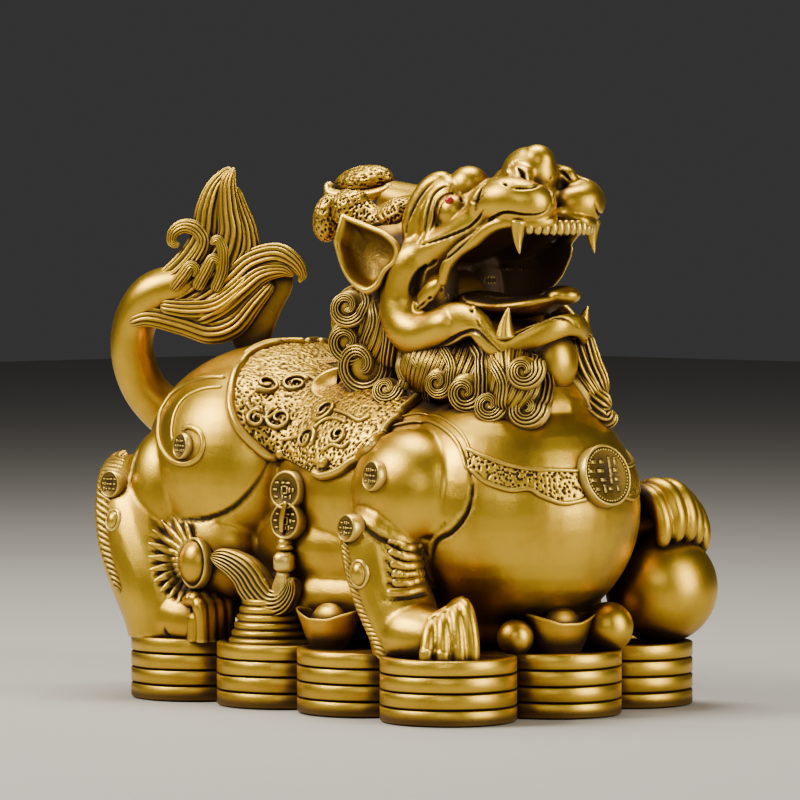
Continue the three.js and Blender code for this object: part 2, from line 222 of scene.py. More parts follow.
def spun(bm, profile, matrix=Matrix(), steps=48):      # a profile of (radius, height) in mm, turned about Z
    before = set(bm.verts)
    rim = [bm.verts.new((-r * mm, 0, z * mm)) for r, z in profile]
    edges = [bm.edges.new(pair) for pair in zip(rim, rim[1:])]
    bmesh.ops.spin(bm, geom=rim + edges, cent=(0, 0, 0), axis=(0, 0, 1), dvec=(0, 0, 0),
                   angle=2 * math.pi, steps=steps, use_merge=True)
    made = [vert for vert in bm.verts if vert not in before]
    bmesh.ops.transform(bm, matrix=matrix, verts=made)
    bmesh.ops.remove_doubles(bm, verts=made, dist=1e-6)
    return [vert for vert in made if vert.is_valid]


def added(name, data):      # a new object in the scene
    piece = bpy.data.objects.new(name, data)
    bpy.context.scene.collection.objects.link(piece)
    return piece


def finished(bm, name, material, node="pixiu"):
    bmesh.ops.recalc_face_normals(bm, faces=bm.faces)
    mesh = bpy.data.meshes.new(name)
    bm.to_mesh(mesh)
    bm.free()
    mesh.shade_smooth()
    mesh.materials.append(material)
    piece = added(name, mesh)
    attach(piece, "root")
    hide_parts(node)
    return piece


def fused(bm, name, material, voxel, smoothing):      # overlapping solids run into one cast skin
    piece = finished(bm, name, material)
    remesh = piece.modifiers.new("fuse", "REMESH")
    remesh.mode, remesh.voxel_size = "VOXEL", voxel * mm
    smooth = piece.modifiers.new("smooth", "SMOOTH")
    smooth.factor, smooth.iterations = 0.5, smoothing
    return applied(piece)


def applied(piece):      # the piece as its modifiers make it
    evaluated = piece.evaluated_get(bpy.context.evaluated_depsgraph_get())
    mesh = bpy.data.meshes.new_from_object(evaluated)
    piece.modifiers.clear()
    piece.data = mesh
    mesh.name = piece.name
    mesh.shade_smooth()
    return piece


# Shader maths

class Value:
    def __init__(self, tree, socket):
        self.tree, self.socket = tree, socket

    def math(self, operation, *others):
        node = self.tree.nodes.new("ShaderNodeMath")
        node.operation = operation
        for slot, other in zip(node.inputs, (self, *others)):
            if isinstance(other, Value):
                self.tree.links.new(other.socket, slot)
            else:
                slot.default_value = other
        return Value(self.tree, node.outputs[0])

    def __add__(self, other):
        return self.math("ADD", other)

    def __sub__(self, other):
        return self.math("SUBTRACT", other)

    def __rsub__(self, other):
        return self * -1 + other

    def __mul__(self, other):
        return self.math("MULTIPLY", other)

    def __truediv__(self, other):
        return self.math("DIVIDE", other)

    __radd__, __rmul__ = __add__, __mul__

    def clamped(self):
        return self.math("MAXIMUM", 0).math("MINIMUM", 1)

    def between(self, low, high):      # 0 below low, 1 above high, smooth between them
        return eased(((self - low) / (high - low)).clamped())


class Shader:
    def __init__(self, name):
        self.material = bpy.data.materials.new(name)
        self.material.use_nodes = True
        self.tree = self.material.node_tree
        self.surface = self.tree.nodes["Principled BSDF"]

    def add(self, kind, settings=None, out=0, **inputs):      # a node: its settings first, then its sockets
        node = self.tree.nodes.new("ShaderNode" + kind)
        for name, value in (settings or {}).items():
            setattr(node, name, value)
        self.plug(node, inputs)
        return Value(self.tree, node.outputs[out])

    def plug(self, node, inputs):      # i6 is the socket with that number
        for name, value in inputs.items():
            socket = node.inputs[int(name[1:]) if name[1:].isdigit() else name.replace("_", " ")]
            if isinstance(value, Value):
                self.tree.links.new(value.socket, socket)
            else:
                socket.default_value = value

    def mix(self, share, first, second):
        return self.add("Mix", {"data_type": "RGBA"}, 2, i0=share, i6=first, i7=second)

    def set(self, **inputs):
        self.plug(self.surface, inputs)


def colour(red, green, blue):
    return (red, green, blue, 1)


# warm and brown stand for the metal's patina and the wax in its recesses; the same colours also carry painted
# shade over the wider hollows and undersides
brassLook = {
    "gold": colour(0.76, 0.48, 0.035), "warm": colour(0.4, 0.18, 0.012), "brown": colour(0.022, 0.009, 0.002),
    "polish": colour(0.97, 0.7, 0.15),      # on rubbed ridges
    "roughness": 0.34, "waxRoughness": 0.6,
    "recess": 0.008, "wide": 0.035,      # how far the wax of the recesses, and the painted shade of the wider hollows and undersides, reach, metres
    "mottle": 55, "grain": 2400,     # sizes of the patterns, per metre
}


def brass(name, wax=1.0, polish=0.8):
    look = brassLook
    shader = Shader(name)
    place = shader.add("TexCoord", None, 3)
    nearLight = shader.add("AmbientOcclusion", {"samples": 8}, 1, Distance=look["recess"])
    wideLight = shader.add("AmbientOcclusion", {"samples": 6}, 1, Distance=look["wide"])
    edge = shader.add("NewGeometry", None, 7)
    cloud = shader.add("TexNoise", Vector=place, Scale=look["mottle"], Detail=4, Roughness=0.6)
    grain = shader.add("TexNoise", Vector=place, Scale=look["grain"], Detail=2, Roughness=0.6)
    # the wax layer: wax in grooves, cuts and pits, and painted shade inside the mouth and over the tail's web
    laidIn = shader.add("Attribute", {"attribute_name": "wax"}, 2)
    recess = (1 - nearLight).between(0.12 / wax, 0.52 / wax)
    # painted shade: the wide occlusion darkens and browns wider hollows and undersides, such as under the
    # belly, where shade falls
    wideShade = (1 - wideLight).between(0.1, 0.65)
    hollow = (0.5 - edge).between(0.01, 0.1) * 0.6
    # darkening from the wax in recesses, from the wax layer (which also holds painted shade), from the
    # painted shade of wider hollows, and from mottle and grain
    waxAndShade = (recess + hollow + laidIn + wideShade * 0.25 + (cloud - 0.55) * 0.2 + (grain - 0.5) * 0.3).clamped()
    rubbed = (edge - 0.515).between(0, 0.06)
    # the warmer brown comes from mottle, from wax in the recesses and from the painted shade of wider hollows
    warmth = (cloud.between(0.35, 0.75) * 0.4 + recess * 0.4 + wideShade * 0.9 - rubbed).clamped()
    base = shader.mix(warmth, look["gold"], look["warm"])
    base = shader.mix((waxAndShade * (0.97 - 0.3 * rubbed)).clamped(), base, look["brown"])
    base = shader.mix(rubbed * (1 - 0.6 * recess) * polish, base, look["polish"])
    rough = look["roughness"] + (grain - 0.5) * 0.14 + (look["waxRoughness"] - look["roughness"]) * waxAndShade
    bump = shader.add("Bump", Strength=0.55, Distance=0.00014, Height=grain)
    shader.set(Base_Color=base, Metallic=1 - 0.4 * waxAndShade, Roughness=rough, Normal=bump)
    return shader.material


def redStone():
    shader = Shader("redStone")
    shader.set(Base_Color=colour(0.42, 0.004, 0.01), Roughness=0.25, Coat_Weight=0.3, Coat_Roughness=0.08)
    return shader.material


smoothBrass = brass("smoothBrass")
carvedBrass = brass("carvedBrass", wax=1.5)
pittedBrass = brass("pittedBrass", polish=0.5)
stackBrass = brass("stackBrass", wax=1.2, polish=0.05)
stoneRed = redStone()
print("materials made")


# The body: the smooth forms of the trunk and legs, run together

trunk = {
    "eggs": [
        [(-62, 0, 85), (43, 54, 38)],        # rump
        [(0, 0, 72), (61, 45.5, 42)],        # barrel
        [(50, 0, 68), (43, 44, 43)],         # chest
        [(-14, 0, 36), (66, 47, 24)],        # belly
        [(-10, 0, 53), (58, 46.5, 28)],      # its flanks
        [(50, 8, 28), (27, 28, 17)],         # under the chest
    ],
    "pairs": [
        [(-56, -30, 79), (34, 28, 36)],      # haunch
        [(37, -36, 74.5), (22.5, 19, 21.5)],       # shoulder
        [(-58, -43, 50), (25, 15, 22)],      # knee
        [(-75, -44, 69), (17, 16, 25)],      # between the haunch and the shin
    ],
    "neck": [[50, 0, 80, 37], [52, 0, 98, 29], [50, 0, 113, 23], [44, 0, 124, 12]],
    "voxel": 0.95, "smoothing": 5,
}
legs = {
    "hind": [[-90, -44, 84, 10], [-90, -46, 72, 15], [-82, -49, 55, 18], [-72, -51, 38, 17.5],
             [-67.5, -52, 24, 15], [-66, -52, 6, 14]],
    "foot": [[-72, -51, 27, 14], [-60, -52, 27, 13], [-51, -52, 26, 11.5], [-40, -52, 24, 9]],
    "near": [[30, -42, 72, 14], [33, -46, 56, 14.5], [38, -47, 42, 13.5], [46, -48, 27, 12.5],
             [49, -48, 8, 12]],
    "nearFoot": [[41, -48, 28, 12], [53, -50, 27, 11.5], [64, -49, 26, 10], [73, -47, 24, 8]],
    "far": [[44, 42, 62, 15], [58, 47, 61, 12.5], [72, 51, 65, 10]],
}


def makeBody():
    bm = bmesh.new()
    for place, radii in trunk["eggs"]:
        egg(bm, place, radii)
    for place, radii in trunk["pairs"]:
        eggPair(bm, place, radii)
    for limb in (*bothSides(legs["hind"]), *bothSides(legs["foot"])):
        tube(bm, limb, out=(0, 1, 0))
    tube(bm, trunk["neck"], out=(1, 0, 0))
    for limb in ("near", "nearFoot", "far"):
        tube(bm, legs[limb], out=(0, 1, 0))
    cutBelow(bm)
    return fused(bm, "body", smoothBrass, trunk["voxel"], trunk["smoothing"])


def cutBelow(bm):      # nothing reaches further down than it sinks into the stacks
    everything = bm.verts[:] + bm.edges[:] + bm.faces[:]
    cut = bmesh.ops.bisect_plane(bm, geom=everything, plane_co=(0, 0, (baseTop - footSink) * mm),
                                 plane_no=(0, 0, -1), clear_outer=True)
    bmesh.ops.holes_fill(bm, edges=[e for e in cut["geom_cut"] if isinstance(e, bmesh.types.BMEdge)])


body = makeBody()
print("body made:", len(body.data.polygons), "faces")


# The base: ten stacks of coins

coins = {
    "stacks": [(-62, -44), (-20, -42), (20, -42), (62, -44), (69, 0), (62, 44), (20, 42), (-20, 42),
               (-62, 44), (-69, 0)],
    "radius": 23, "count": 4, "thickness": 5.5, "groove": 1.9, "bevel": 0.5,
    "wobble": 0.2, "uneven": (0.35, 21.6),      # how much, and between which heights
    "middle": (124, 88, 20.8), "middleHeight": 10.8,      # the block that fills the ring of stacks
}


def makeBase():
    bm = bmesh.new()
    outer, bevel = coins["radius"], coins["bevel"]
    inner, top = outer - coins["groove"], coins["count"] * coins["thickness"]
    profile = [(0, 0)]
    for coin in range(coins["count"]):
        low, high = coin * coins["thickness"], (coin + 1) * coins["thickness"]
        profile += [(inner, low), (inner, low + 0.3), (outer - 0.4, low + 0.4), (outer, low + bevel + 0.3),
                    (outer, (low + high) / 2), (outer, high - bevel), (outer - 0.4, high - 0.15)]
    profile += [(inner, top), (outer - 3, top), (outer - 3.4, top - 0.5), (0, top - 0.5)]
    for x, y in coins["stacks"]:
        spun(bm, profile, Matrix.Translation(Vector((x, y, 0)) * mm), steps=72)
    low, high = coins["uneven"]
    for vert in bm.verts:
        x, y, z = vert.co
        if low * mm < z < high * mm:
            vert.co.z += noise.noise(Vector((x * 45, y * 45, z * 400))) * coins["wobble"] * mm
    block(bm, Matrix.Translation((0, 0, coins["middleHeight"] * mm)), coins["middle"])
    finished(bm, "coinStacks", stackBrass)


makeBase()
print("base made")


# The treasure lying round it

treasure = {
    "orb": (72, 51, 19.5), "pearls": [(71, -21, 6.2), (83, 12, 8.6)],
    "ingots": [(77, -5, 75), (9, -48, 8)], "ingotSize": (27, 14, 16),
    "boat": [(0, 0), (0.5, 0), (0.56, 0.03), (0.72, 0.3), (0.88, 0.62), (0.97, 0.76), (1, 0.8), (0.98, 0.84),
             (0.93, 0.83), (0.84, 0.68), (0.72, 0.55), (0.62, 0.55), (0.58, 0.7), (0.5, 0.92), (0.36, 1.1),
             (0.18, 1.19), (0, 1.22)],      # the ingot's section, in shares of its size
    "pile": (-22, -46), "pileRadius": 14.5, "pileCoins": 6, "pileCoin": 2.7,
}


def makeTreasure():
    bm = bmesh.new()
    ground = drawnGround - footSink
    for x, y, radius in [treasure["orb"], *treasure["pearls"]]:
        egg(bm, (x, y, ground + radius), (radius,) * 3, around=64 if radius > 10 else 32)
    length, width, height = treasure["ingotSize"]
    for x, y, turn in treasure["ingots"]:
        made = spun(bm, treasure["boat"])
        for vert in made:
            along, across, up = vert.co / mm
            rim = math.hypot(along, across) ** 3 * max(abs(along) - 0.3, 0) * 5
            vert.co = Vector((along * length / 2, across * width / 2, up * height * 0.82 + rim)) * mm
        turned = Matrix.Translation(at(x, y, ground)) @ Matrix.Rotation(math.radians(turn), 4, "Z")
        bmesh.ops.transform(bm, matrix=turned, verts=made)
    x, y = treasure["pile"]
    profile, thickness = [(0, 0)], treasure["pileCoin"]
    for coin in range(treasure["pileCoins"]):
        radius, low = treasure["pileRadius"] - 0.9 * coin, coin * thickness
        profile += [(radius - 0.8, low), (radius, low + 0.6), (radius, low + thickness - 0.8),
                    (radius - 0.8, low + thickness - 0.2)]
    spun(bm, [*profile, (0, treasure["pileCoins"] * thickness)], Matrix.Translation(at(x, y, ground)))
    finished(bm, "treasure", stackBrass)


makeTreasure()
print("treasure made")


# The head

skull = {
    "mass": {
        "eggs": [
            [(3, 0, 152), (23, 21.5, 23.5), (0, -20, 0)],      # the back of the head
            [(57.5, 0, 182), (10.5, 9, 9.6)],                  # the nose
            [(67, 0, 118.5), (9.6, 9.8, 11.5)],                # the chin
        ],
        "eggPairs": [
            [(18, -12, 142), (14, 11, 21)],      # under the cheek
            [(23, -9, 166), (13, 11, 14)],       # under the brow
            [(40, -9, 170), (9.5, 9.5, 9)],      # under the boss
        ],
        "limbs": [      # the upper jaw and the lower jaw, each with its flatness
            ([[12, 0, 157, 19], [38, 0, 168, 18.5], [58, 0, 174, 16], [68, 0, 173, 11]], 0.6),
            ([[16, 0, 131, 17], [44, 0, 128, 20], [64, 0, 126, 15]], 0.28),
        ],
        "pairs": [      # the cheek and its upper arm, the brow, the lids, the lip's lobe, the nose's wing
            [[29, -19, 156.5, 6.5], [22, -19.5, 151.5, 8.5], [17.5, -19.5, 143, 9], [18, -20, 134, 9],
             [23, -21, 128.5, 8.5], [31, -21.5, 128, 7.5], [40, -22, 130.5, 7], [48, -22, 132, 5]],
            [[20, -18.5, 151, 8], [29, -18.5, 156, 7], [39, -18, 160.5, 6.2], [49, -17.5, 165.5, 6.4],
             [58, -17, 170, 7]],
            [[21.5, -19, 157, 4.2], [21.5, -19.5, 165.5, 4.4], [24.4, -18.5, 173, 4.4], [29, -17, 178.5, 4.2],
             [35, -14, 180, 4]],
            [[30, -19, 157, 3.6], [29.5, -19, 165, 4.6], [31.5, -18, 171, 4.6], [35, -16, 176, 4.4],
             [39, -13, 178.5, 4]],
            [[65, -3, 171.5, 4.6], [70, -8.5, 172, 6.2], [70, -13.5, 172.4, 7.4], [63.5, -17, 173.2, 8.2],
             [55, -18, 172, 7], [48, -18, 169.5, 5.4]],
            [[53, -8, 177, 4], [59, -9, 180.3, 4.8], [65, -10.5, 180.6, 4.2], [68, -9, 179, 2.5]],
        ],
        "voxel": 0.9, "smoothing": 9,
    },
    "boss": [(39, -10.5, 178), (7.4, 7, 7)],
    "eye": [(38.8, -17.8, 169.4), (5.9, 5.7, 5.9)],
    "nose": [(61, 0, 186), (6.4, 6, 6.2)],
    "tongueTip": [(70, 3, 141), (6.5, 6, 3.4)],
    "farCheek": [[18, 8, 150, 16], [32, 17, 150, 15], [42, 21.5, 150, 9], [50, 22.5, 154, 6],
                 [57, 22, 158.5, 4]],
    "tongue": [[28, 0, 140, 12], [46, 0, 137, 12], [60, 0, 137.5, 10.5], [69, 0, 139.5, 7], [73, 0, 141, 4]],
    "upperLip": [[39, -24, 144, 2], [42, -24.5, 151, 2.2], [47, -24, 156, 2.3], [54, -23, 160, 2.3],
                 [60, -22, 164, 2.2], [66.5, -20, 166, 2.1], [73, -14.5, 165.6, 2], [75.5, -8, 166.2, 1.8],
                 [71, -2.5, 169, 1.6]],
    "lowerLip": [[24, -20, 126, 4], [32, -22, 127.5, 6.4], [40, -22.5, 130.5, 7.6], [48.6, -22.7, 132.7, 6.2],
                 [55, -22.5, 131, 4.8], [58.5, -22, 127.4, 4.4], [63.5, -19.5, 123.6, 4.4],
                 [68, -15, 125.5, 4.2], [73, -10, 128.5, 4], [76, -5, 130.6, 3.9], [76.5, 0, 131.2, 3.8]],
    "flap": [[25, -23, 134.5, 1.5], [30, -24, 139, 3], [35, -24.5, 143, 3], [39, -24, 146, 1.5]],
    "upperLipFlat": 0.8, "lowerLipFlat": 0.5,
    "voxel": 0.5, "smoothing": 3,
    "mouth": [(46, 0, 151), (36, 25, 18)],      # what faces the middle of this egg gets painted shade
}
maneMass = {
    "eggs": [
        [(8, 0, 130), (27, 25, 25), (0, -15, 0)],
        [(37, 0, 115), (31, 28, 15), (0, 10, 0)],
    ],
    "locks": [
        [[-2, -17, 142, 8], [-8, -17, 132, 9], [-7, -18, 122, 8]],
        [[58, -13, 124, 7], [66, -16.5, 113, 8], [71, -17, 102, 7]],
    ],
    "voxel": 0.9, "smoothing": 14,
}


def makeHead():
    bm = bmesh.new()
    mass = skull["mass"]
    for form in mass["eggs"]:
        egg(bm, *form)
    for points, flat in mass["limbs"]:
        tube(bm, points, flat=flat, around=32)
    for limb in mass["pairs"]:
        for points in bothSides(limb):
            tube(bm, points, around=32)
    for form in mass["eggPairs"]:
        eggPair(bm, *form)
    blended = fused(bm, "head", smoothBrass, mass["voxel"], mass["smoothing"])
    bm = bmesh.new()
    bm.from_mesh(blended.data)
    bpy.data.objects.remove(blended)
    egg(bm, *skull["nose"])
    egg(bm, *skull["tongueTip"])
    for side, flap in zip((1, -1), bothSides(skull["flap"])):
        for (x, y, z), radii in (skull["boss"], skull["eye"]):
            egg(bm, (x, side * y, z), radii)
        tube(bm, flap, out=(0, 1, 0), flat=0.6)
    tube(bm, skull["farCheek"], out=(-0.35, 1, 0), flat=0.2, around=40)
    tube(bm, skull["tongue"], flat=0.33, around=40)
    for name in ("upperLip", "lowerLip"):
        across = 1 if name == "lowerLip" else 0      # its last point lies on the middle plane
        points = skull[name] + mirrored(skull[name])[::-1][across:]
        line = spline(points, 110)
        outwards = unitRows((line[:, :3] - [44, 0, 0]) * [0.7, 1, 0])
        tube(bm, points, out=outwards, flat=skull[name + "Flat"], rings=110, around=28)
    return fused(bm, "head", smoothBrass, skull["voxel"], skull["smoothing"])


def makeManeMass():
    bm = bmesh.new()
    for form in maneMass["eggs"]:
        egg(bm, *form)
    for limb in maneMass["locks"]:
        for points in bothSides(limb):
            tube(bm, points, out=(1, 0, 0))
    return fused(bm, "underMane", carvedBrass, maneMass["voxel"], maneMass["smoothing"])


head = makeHead()
under = makeManeMass()
print("head made:", len(head.data.polygons), "faces")


# What lies on the cast skin is placed by picture points, along the photograph's lines of sight

class Surface:
    def __init__(self, *pieces):
        bm = bmesh.new()
        for piece in pieces:
            bm.from_mesh(piece.data)
        self.tree = BVHTree.FromBMesh(bm)
        bm.free()

    def seen(self, pixels):
        found = []
        for u, v in pixels:
            ray = sightLine(u, v)
            hit = self.tree.ray_cast(eye, ray)[0]
            if hit is None:      # just outside the outline
                steps = [self.tree.find_nearest(eye + ray * step * mm) for step in photo["steps"]]
                hit = min(steps, key=lambda near: near[3])[0]
            found.append(hit)
        return np.array(found)

    def laid(self, line, raised=0, soften=2):      # the line on the surface, with its outward directions
        near = [self.tree.find_nearest(Vector(point)) for point in line]
        place, out = (np.array([hit[k] for hit in near]) for k in (0, 1))
        for _ in range(soften):
            out[1:-1] = unitRows(out[:-2] + out[1:-1] + out[2:])
        return place + out * np.reshape(raised, (-1, 1)) * mm, out


def flipped(line, side):
    return np.asarray(line) * [1, -side, 1]


def metres(points):
    return np.array([[x, y, z + lift] for x, y, z in points]) * mm


def vertexRows(mesh):      # the places of the vertices and their normals
    place, out = np.empty(len(mesh.vertices) * 3), np.empty(len(mesh.vertices) * 3)
    mesh.vertices.foreach_get("co", place)
    mesh.vertex_normals.foreach_get("vector", out)
    return place.reshape(-1, 3), out.reshape(-1, 3)


def carved(piece, skin, strokes):
    # strokes are (picture points, half width, height or minus depth, both sides); they swell or sink the skin
    mesh = piece.data
    place, out = vertexRows(mesh)
    moved, wax = np.zeros(len(place)), np.zeros(len(place))
    for pixels, wide, high, both in strokes:
        line = skin.seen(pixels)
        line = spline(line, max(8, int(len(pixels) * 9))) if len(pixels) > 1 else line
        taper = np.sin(np.linspace(0.05, 0.95, len(line)) * math.pi) ** 0.6 if len(line) > 1 else np.ones(1)
        for side in (-1, 1) if both else (-1,):
            path, reach = flipped(line, side), wide * mm
            inside = np.flatnonzero(((place > path.min(0) - reach) & (place < path.max(0) + reach)).all(1))
            if not len(inside):
                continue
            gap = np.linalg.norm(place[inside][:, None] - path[None], axis=2)
            nearest = gap.argmin(1)
            away = gap[np.arange(len(inside)), nearest] / (reach * taper[nearest])
            share = eased(np.clip(1 - away, 0, 1))
            moved[inside] += high * taper[nearest] * share
            if high < 0:
                dark = np.minimum(1.5 * share, 1) * taper[nearest] * min(1, -high)
                wax[inside] = np.maximum(wax[inside], dark)
    place += out * moved[:, None] * mm
    mesh.vertices.foreach_set("co", place.ravel())
    mesh.attributes.new("wax", "FLOAT", "POINT").data.foreach_set("value", wax)
    mesh.update()


def paintedShadeInside(piece, place, radii):      # painted shade, laid into the wax layer, over what faces the middle of an egg, inside it
    layer = piece.data.attributes["wax"].data
    spots, out = vertexRows(piece.data)
    wax = np.empty(len(spots))
    layer.foreach_get("value", wax)
    inwards = (np.array(at(*place)) - spots) / (np.array(radii) * mm)
    facing = (unitRows(inwards) * out).sum(1)
    share = np.clip((1.15 - np.linalg.norm(inwards, axis=1)) / 0.2, 0, 1) * np.clip(facing / 0.3, 0, 1)
    layer.foreach_set("value", np.maximum(wax, share))


faceStrokes = [
    ([(426, 266), (419, 277), (415, 290), (417, 303)], 2.8, -3.0, True),             # the hollow of the cheek
    ([(417, 309), (430, 298), (441, 289), (447, 297)], 0.9, -1.4, True),             # under the flap
    # round the eye: over the lid, the lids, and under the eye
    ([(418, 243), (425, 228), (428, 208), (433, 195), (443, 187), (455, 188)], 0.9, -1.3, True),
    ([(424, 243), (431, 226), (434, 209), (439, 198), (450, 192), (461, 193)], 0.9, 0.9, True),
    ([(431, 241), (437, 225), (439, 211), (444, 200), (455, 196)], 0.7, -1.0, True),
    ([(419, 246), (434, 241), (450, 236), (466, 229), (478, 219), (484, 208)], 0.9, -1.5, True),
    ([(436, 244), (450, 237), (465, 229), (476, 217)], 0.6, 0.6, True),
    ([(487, 182), (478, 195), (475, 210)], 1.4, -2.0, True),             # behind the lip's lobe
    ([(404, 248), (406, 231), (413, 209), (424, 191), (440, 178)], 0.9, -0.9, True),      # behind the brow
    ([(450, 192), (462, 200), (475, 201), (484, 194)], 1.1, -1.5, True),             # under the boss
    # over the lip and behind it
    ([(473, 234), (487, 222), (504, 213), (525, 215), (543, 213), (550, 203)], 0.9, -1.6, True),
    ([(414, 283), (421, 271), (433, 264), (448, 256), (461, 246), (473, 235)], 1.3, -1.5, True),
    ([(551, 178), (550, 190), (553, 203)], 1.5, -2.2, False),            # between the lobes under the nose
    ([(518, 167), (523, 173), (527, 180)], 1.6, -3.4, True),             # the nostrils
    ([(513, 183), (509, 173), (512, 163), (519, 158)], 1.0, 1.2, True),      # the rims of the nostrils
    ([(497, 177), (505, 184), (520, 188), (536, 186), (547, 183)], 1.0, -1.5, False),      # under the nose
    ([(557, 166), (563, 172), (570, 180)], 1.0, -1.4, False),            # pleats of the far wing
    # under the rim of the lower lip, and the rim
    ([(449, 301), (463, 301), (472, 311), (479, 325), (490, 338)], 0.8, -1.4, True),
    ([(505, 340), (523, 330), (545, 320), (562, 318), (578, 326)], 0.8, -1.4, False),
    ([(446, 297), (461, 296), (474, 307), (482, 325), (494, 335)], 0.7, 0.9, True),
    ([(507, 334), (524, 325), (545, 314), (562, 312), (580, 320)], 0.7, 0.9, False),
    ([(426, 353), (446, 343), (462, 334), (476, 331), (490, 343), (501, 353)], 1.2, -1.2, True),
    ([(472, 292), (500, 298), (530, 296)], 0.9, -1.2, False),            # the middle of the tongue
    ([(460, 286), (490, 280), (530, 284)], 0.8, -1.1, False),            # ridges of the mouth
    ([(470, 272), (500, 266), (536, 270)], 0.8, -1.0, False),
]
bodyStrokes = [
    ([(380, 534), (391, 543), (407, 552), (423, 552)], 1.1, -1.7, False),      # wrinkles over the near paw
    ([(383, 545), (393, 555), (408, 561), (423, 559)], 1.1, -1.7, False),
    ([(384, 558), (394, 568), (408, 571), (424, 568)], 1.1, -1.7, False),
    ([(385, 570), (395, 577), (408, 579), (424, 575)], 1.0, -1.7, False),
    ([(384, 581), (396, 586), (409, 586), (424, 582)], 1.0, -1.6, False),
    ([(380, 600), (398, 599), (420, 595), (432, 592)], 1.1, -1.6, False),
    # under the shoulder, behind the chest, under the haunch and beside the rear edge
    ([(349, 500), (358, 520), (376, 536), (400, 545), (428, 538), (447, 520)], 1.8, -1.6, True),
    ([(470, 470), (472, 492), (466, 514), (452, 532), (434, 545), (429, 580)], 1.5, -1.7, True),
    ([(160, 508), (180, 518), (206, 519), (233, 508), (256, 484), (270, 458)], 1.6, -1.0, True),
    ([(139, 448), (133, 465), (130, 482)], 1.8, -1.5, True),
    ([(191, 600), (194, 612), (193, 626), (189, 638)], 0.9, -1.3, True),       # the heel of the hind foot
    ([(163, 626), (166, 633), (172, 639)], 0.8, -1.0, True),
]
fan = {"middle": (197, 562), "wide": 0.86, "inner": 19, "count": 13, "from": 108, "to": 268,
       "outer": [44, 60, 63, 58, 56, 52, 48, 38]}


def fanLine(share, inner, outer, points=5):      # one ray of the fan of leaves, in picture points
    turn = math.radians(fan["from"] + (fan["to"] - fan["from"]) * share)
    reach = np.interp(share, np.linspace(0, 1, len(fan["outer"])), fan["outer"])
    u, v = fan["middle"]
    return [(u + math.cos(turn) * r * fan["wide"], v - math.sin(turn) * r)
            for r in np.linspace(inner * fan["inner"], outer * reach, points)]


for k in range(fan["count"] + 1):
    bodyStrokes.append((fanLine((k - 0.5) / (fan["count"] - 1), 0.9, 0.95), 1.7, -1.3, True))
whole = Surface(body, head, under)
carved(head, whole, faceStrokes)
carved(body, whole, bodyStrokes)
# painted shade inside the mouth
paintedShadeInside(head, *skull["mouth"])
skinOf = Surface(body, head, under)
maneSkin, bodySkin = Surface(body, under), Surface(body)
print("folds carved")


def ridge(bm, pixels, wide, high, side=-1, count=60, raised=0, skin=skinOf, towards=0, soften=2, **more):
    line = flipped(spline(skin.seen(pixels), count), side)
    centre, out = skin.laid(line, raised, soften)
    ribbon(bm, centre, unitRows(out + np.array(backward) * [towards, -side * towards, 0]), wide, high, **more)


def placed(pixel, side=-1, skin=skinOf):      # place and outward direction of one picture point
    place, out = skin.laid(flipped(skin.seen([pixel]), side), 0, 0)
    return place[0], out[0]


sunkEdge = -0.6      # mm, where a sheet's edge lies
pits = {"size": 1.2, "depth": 0.5, "reach": 0.47, "wall": 0.16}      # mm, and shares of the size


def pitDepth(place):
    distance = noise.voronoi(place / (pits["size"] * mm))[0][0]
    return eased(min(max((pits["reach"] - distance) / pits["wall"], 0), 1))


def smoothedRows(rows, times, step=1):
    for _ in range(times):
        rows[step:-step] = (rows[:-2 * step] + 2 * rows[step:-step] + rows[2 * step:]) / 4
        rows[:, step:-step] = (rows[:, :-2 * step] + 2 * rows[:, step:-step] + rows[:, 2 * step:]) / 4
    return rows


def wrapped(points, height):      # points brought in from outside to the body, towards an axis at this height
    middle = points * [1, 0, 0] + [0, 0, (height + lift) * mm]
    rays = unitRows(points - middle)
    reach = np.linalg.norm(points - middle, axis=-1)
    outside = 0.12      # metres, beyond the body all round
    for spot in np.ndindex(reach.shape):
        start = Vector(middle[spot] + rays[spot] * outside)
        gap = bodySkin.tree.ray_cast(start, Vector(-rays[spot]))[3]
        reach[spot] = outside - gap if gap else reach[spot]
    body, (along, across) = reach.copy(), reach.shape
    i, j = np.indices(reach.shape)
    border = np.minimum(np.minimum(i, along - 1 - i), np.minimum(j, across - 1 - j))
    for step in (12, 6, 3, 1):      # it spans the valleys
        for _ in range(8):
            reach = np.maximum(body, smoothedRows(reach, 1, step))
    reach = smoothedRows(body + (reach - body) * np.clip(border / 16, 0, 1), 3)
    rows = middle + rays * reach[..., None]
    outs = unitRows(np.cross(np.gradient(rows, axis=0), np.gradient(rows, axis=1)))
    return rows, outs * np.sign((outs * rays).sum(-1, keepdims=True))


def sheet(bm, first, second, along, across, raised, axis=None):
    # a raised sheet between two lines laid on the skin, pitted all over and sunk at its edges
    a, b = spline(first, along)[:, None], spline(second, along)[:, None]
    share = np.linspace(0, 1, across)[None, :, None]
    flat = a * (1 - share) + b * share
    if axis is None:
        rows, outs = (grid.reshape(flat.shape) for grid in bodySkin.laid(flat.reshape(-1, 3), soften=0))
    else:
        rows, outs = wrapped(flat, axis)
    rows, outs = smoothedRows(rows, 2), unitRows(smoothedRows(outs, 6))
    layer = waxAndShadeLayer(bm)
    for vert, i, j in gridVerts(bm, along, across):
        border = min(i, j, along - 1 - i, across - 1 - j)
        hole = pitDepth(Vector(rows[i, j])) if border > 1 else 0
        height = raised - hole * pits["depth"] if border else sunkEdge
        vert.co = rows[i, j] + outs[i, j] * height * mm
        vert[layer] = hole
    return rows.reshape(-1, 3), outs.reshape(-1, 3)


